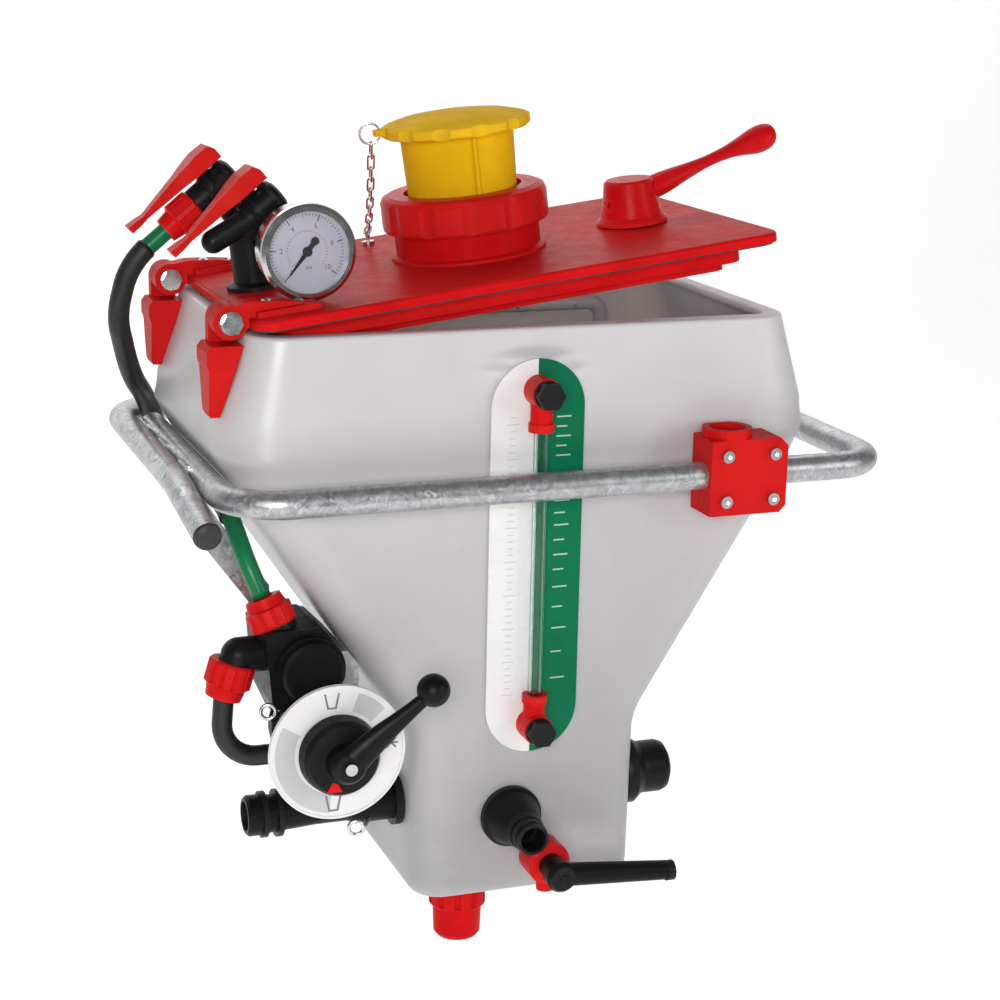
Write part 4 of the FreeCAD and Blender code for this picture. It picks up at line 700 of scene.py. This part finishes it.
def sleeve_radius(length):
    """Sleeve with a rolled end at both sides and shallow wrap marks."""
    def radius(run):
        edge = min(run, length - run)
        swell = 0.0004 * math.exp(-((edge - 0.0015) / 0.0012) ** 2)
        close = 0.0011 * smooth_step(1 - edge / 0.001)
        return 0.0079 + swell - close + 0.00006 * math.sin(run * 2 * math.pi / 0.004)
    return radius


def build_feed_hose():
    """Green hose with a black sleeve over most of its length."""
    line = feed_line()
    length = line_length(line)
    sleeve = cut_line(line, 0.034, length - 0.062)
    hose = swept("feed_hose_core", line, lambda run: 0.0066, MAT["green_hose"], None)
    cover = swept("feed_hose_sleeve", sleeve, sleeve_radius(line_length(sleeve)), MAT["sleeve"],
                  None)
    for piece in (hose, cover):
        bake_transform(piece)
    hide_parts("feed_hose")


def build_bypass_hose():
    """Short hose from the manifold's elbow back to its side."""
    axis = V((-0.3, 0, -1)).normalized()
    start = at(-216, -100, -137) + axis * 0.0105
    corner = at(start.x * 1000 - 4, -100, -197)
    line = bend_path([start, corner, at(-180, -100, -197)], [0.026], 0.0015)
    hose = swept("bypass_hose_skin", line, lambda run: 0.0074, MAT["sleeve"], "hopper")
    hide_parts("bypass_hose")


build_feed_hose()
build_bypass_hose()


# Gauge face -----------------------------------------------------------------------------------

GAUGE = (-148.0, -92.0, 154.0)


def gauge_place(u, v, w):
    """Point on the dial: u to the right, v up, w towards the viewer, in millimetres."""
    return on_lid(GAUGE[0] + u, GAUGE[1] + 7 - w, GAUGE[2] + v)


def dial_text(name, words, u, v, size, material):
    curve = bpy.data.curves.new(name, "FONT")
    curve.body = words
    curve.size = size * MM
    curve.align_x = "CENTER"
    curve.align_y = "CENTER"
    curve.extrude = 0.00004
    obj = bpy.data.objects.new(name, curve)
    bpy.context.collection.objects.link(obj)
    curve.materials.append(material)
    tilt = Matrix.Rotation(-LID_REST, 4, "Y") @ Matrix.Rotation(math.radians(90), 4, "X")
    obj.matrix_world = Matrix.Translation(gauge_place(u, v, 0.12)) @ tilt
    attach(obj, "lid")


def build_gauge_face():
    ticks = []
    for step in range(51):
        turn = math.radians(225 - 270 * step / 50)
        long_tick = step % 10 == 0
        reach = 22.0 if long_tick else (23.6 if step % 5 == 0 else 24.6)
        half = 0.45 if long_tick else 0.22
        direction = (math.cos(turn), math.sin(turn))
        across = (-direction[1] * half, direction[0] * half)
        ticks.append([(direction[0] * r + across[0] * s, direction[1] * r + across[1] * s)
                      for r, s in ((reach, -1), (26.4, -1), (26.4, 1), (reach, 1))])
    many_flat("gauge_ticks", ticks, 0.12, gauge_place, MAT["dial_ink"], "lid")
    inner = []
    for step in range(31):
        turn = math.radians(225 - 270 * step / 30)
        direction = (math.cos(turn), math.sin(turn))
        across = (-direction[1] * 0.18, direction[0] * 0.18)
        inner.append([(direction[0] * r + across[0] * s, direction[1] * r + across[1] * s)
                      for r, s in ((13.6, -1), (14.8, -1), (14.8, 1), (13.6, 1))])
    many_flat("gauge_inner_ticks", inner, 0.12, gauge_place, MAT["red_gloss"], "lid")
    for number in range(6):
        turn = math.radians(225 - 270 * number / 5)
        dial_text("gauge_number_%d" % number, str(number * 2), 18.4 * math.cos(turn),
                  18.4 * math.sin(turn), 5.0, MAT["dial_ink"])
    dial_text("gauge_unit", "bar", 0, -11, 4.0, MAT["dial_ink"])


build_gauge_face()


# Scale of the sight gauge ---------------------------------------------------------------------

def scale_place(u, v, w):
    return at(u, -139.85 - w, v)


def build_scale():
    dark, pale = [], []
    for step in range(42):
        z = -156 + step * 5.0
        length = 9.0 if step % 5 == 0 else 5.0
        dark.append(rectangle(-20 - length * 0.5, -20 + length * 0.5, z - 0.28, z + 0.28))
    many_flat("scale_marks_white", dark, 0.12, scale_place, MAT["grey_ink"], "hopper")
    heights = [48, 41, 34, 27, 20, -4, -13, -22, -31, -42, -53, -64, -77, -92, -108, -126, -146]
    for number, z in enumerate(heights):
        length = 11.0 if number % 2 == 0 else 8.0
        pale.append(rectangle(13, 13 + length, z - 0.5, z + 0.5))
    many_flat("scale_marks_green", pale, 0.12, scale_place, MAT["pale_ink"], "hopper")


build_scale()


# Selector face --------------------------------------------------------------------------------

def selector_place(u, v, w):
    return at(-158 + u, -178 - w, -170 + v)


def sector(inner, outer, begin, end, steps=16):
    """Part of a ring between two angles in degrees."""
    points = []
    for radius, first, last in ((outer, begin, end), (inner, end, begin)):
        for k in range(steps + 1):
            turn = math.radians(mix(first, last, k / steps))
            points.append((radius * math.cos(turn), radius * math.sin(turn)))
    return points


def cup(u, v, size):
    """Open cup drawn as a thick line."""
    w = size
    t = size * 0.22
    return [(u - w, v + w), (u - w * 0.6, v - w), (u + w * 0.6, v - w), (u + w, v + w),
            (u + w - t, v + w), (u + w * 0.6 - t, v - w + t), (u - w * 0.6 + t, v - w + t),
            (u - w + t, v + w)]


def build_selector_face():
    wide = [sector(30.5, 44.5, 150, 262), sector(30.5, 44.5, 40, 70)]
    many_flat("selector_sectors", wide, 0.12, selector_place, MAT["grey_ink"], "hopper")
    icons = [cup(-4, 37.5, 5.6), cup(-3, -37, 6.0)]
    for lean in (-1, 1):
        along = (math.cos(math.radians(45 * lean)), math.sin(math.radians(45 * lean)))
        across = (-along[1] * 0.6, along[0] * 0.6)
        centre = (38.5, 3.0)
        icons.append([(centre[0] + along[0] * r + across[0] * s, centre[1] + along[1] * r
                       + across[1] * s) for r, s in ((-5, -1), (5, -1), (5, 1), (-5, 1))])
    icons.append(rectangle(33.5, 43.5, 2.4, 3.6))
    many_flat("selector_icons", icons, 0.2, selector_place, MAT["icon_ink"], "hopper")
    disc = [(4.2 * math.cos(math.radians(15 * k)), 4.2 * math.sin(math.radians(15 * k)))
            for k in range(24)]
    many_flat("selector_screw_disc", [disc], 0.3,
              lambda u, v, w: at(-158 + u, -212.6 - w, -170 + v), MAT["grey_ink"], "selector")


build_selector_face()


# Studio ---------------------------------------------------------------------------------------

def area_light(name, place, target, size, power, colour=(1, 1, 1)):
    data = bpy.data.lights.new(name, "AREA")
    data.shape = "RECTANGLE"
    data.size, data.size_y = size
    data.energy = power
    data.color = colour
    light = bpy.data.objects.new(name, data)
    bpy.context.collection.objects.link(light)
    direction = V(target) - V(place)
    rotation = direction.to_track_quat("-Z", "Y").to_matrix().to_4x4()
    light.matrix_world = Matrix.Translation(V(place)) @ rotation


def build_studio():
    floor_z = cad_box[0][2] - 0.22
    profile = [(-2.2, floor_z), (1.6, floor_z)]
    for degrees in range(6, 91, 6):
        turn = math.radians(degrees)
        profile.append((1.6 + 0.9 * math.sin(turn), floor_z + 0.9 * (1 - math.cos(turn))))
    profile += [(2.5, floor_z + 4.5)]
    verts, faces = [], []
    for x in (-5.0, 5.0):
        verts += [(x, y, z) for y, z in profile]
    count = len(profile)
    for k in range(count - 1):
        faces.append((k, k + 1, count + k + 1, count + k))
    material, tree, shader, coords = start_material("studio_paper")
    tone = blend_colours(tree, noise(tree, coords, 2.0, 2), (0.86, 0.86, 0.86), (0.90, 0.90, 0.90))
    tree.links.new(tone, shader.inputs["Base Color"])
    shader.inputs["Roughness"].default_value = 0.95
    shader.inputs["Specular IOR Level"].default_value = 0.0
    shader.inputs["Emission Color"].default_value = (1, 1, 1, 1)
    shader.inputs["Emission Strength"].default_value = 0.40
    sweep = new_object("studio_sweep", verts, faces, material, None)

    bpy.context.scene.view_settings.view_transform = "Standard"
    world = bpy.data.worlds.new("studio_world")
    bpy.context.scene.world = world
    world.use_nodes = True
    background = world.node_tree.nodes["Background"]
    background.inputs["Color"].default_value = (1.0, 1.0, 1.0, 1)
    background.inputs["Strength"].default_value = 0.14
    area_light("key_light", (-0.9, -2.0, 0.55), (0, 0.1, 0.05), (0.8, 0.8), 31)
    area_light("fill_light", (1.5, -1.6, 0.5), (0, 0.1, 0.0), (0.8, 1.0), 10)
    area_light("backdrop_light", (0, 1.6, 2.6), (0, 2.6, 0.4), (3.5, 0.8), 35)


build_studio()
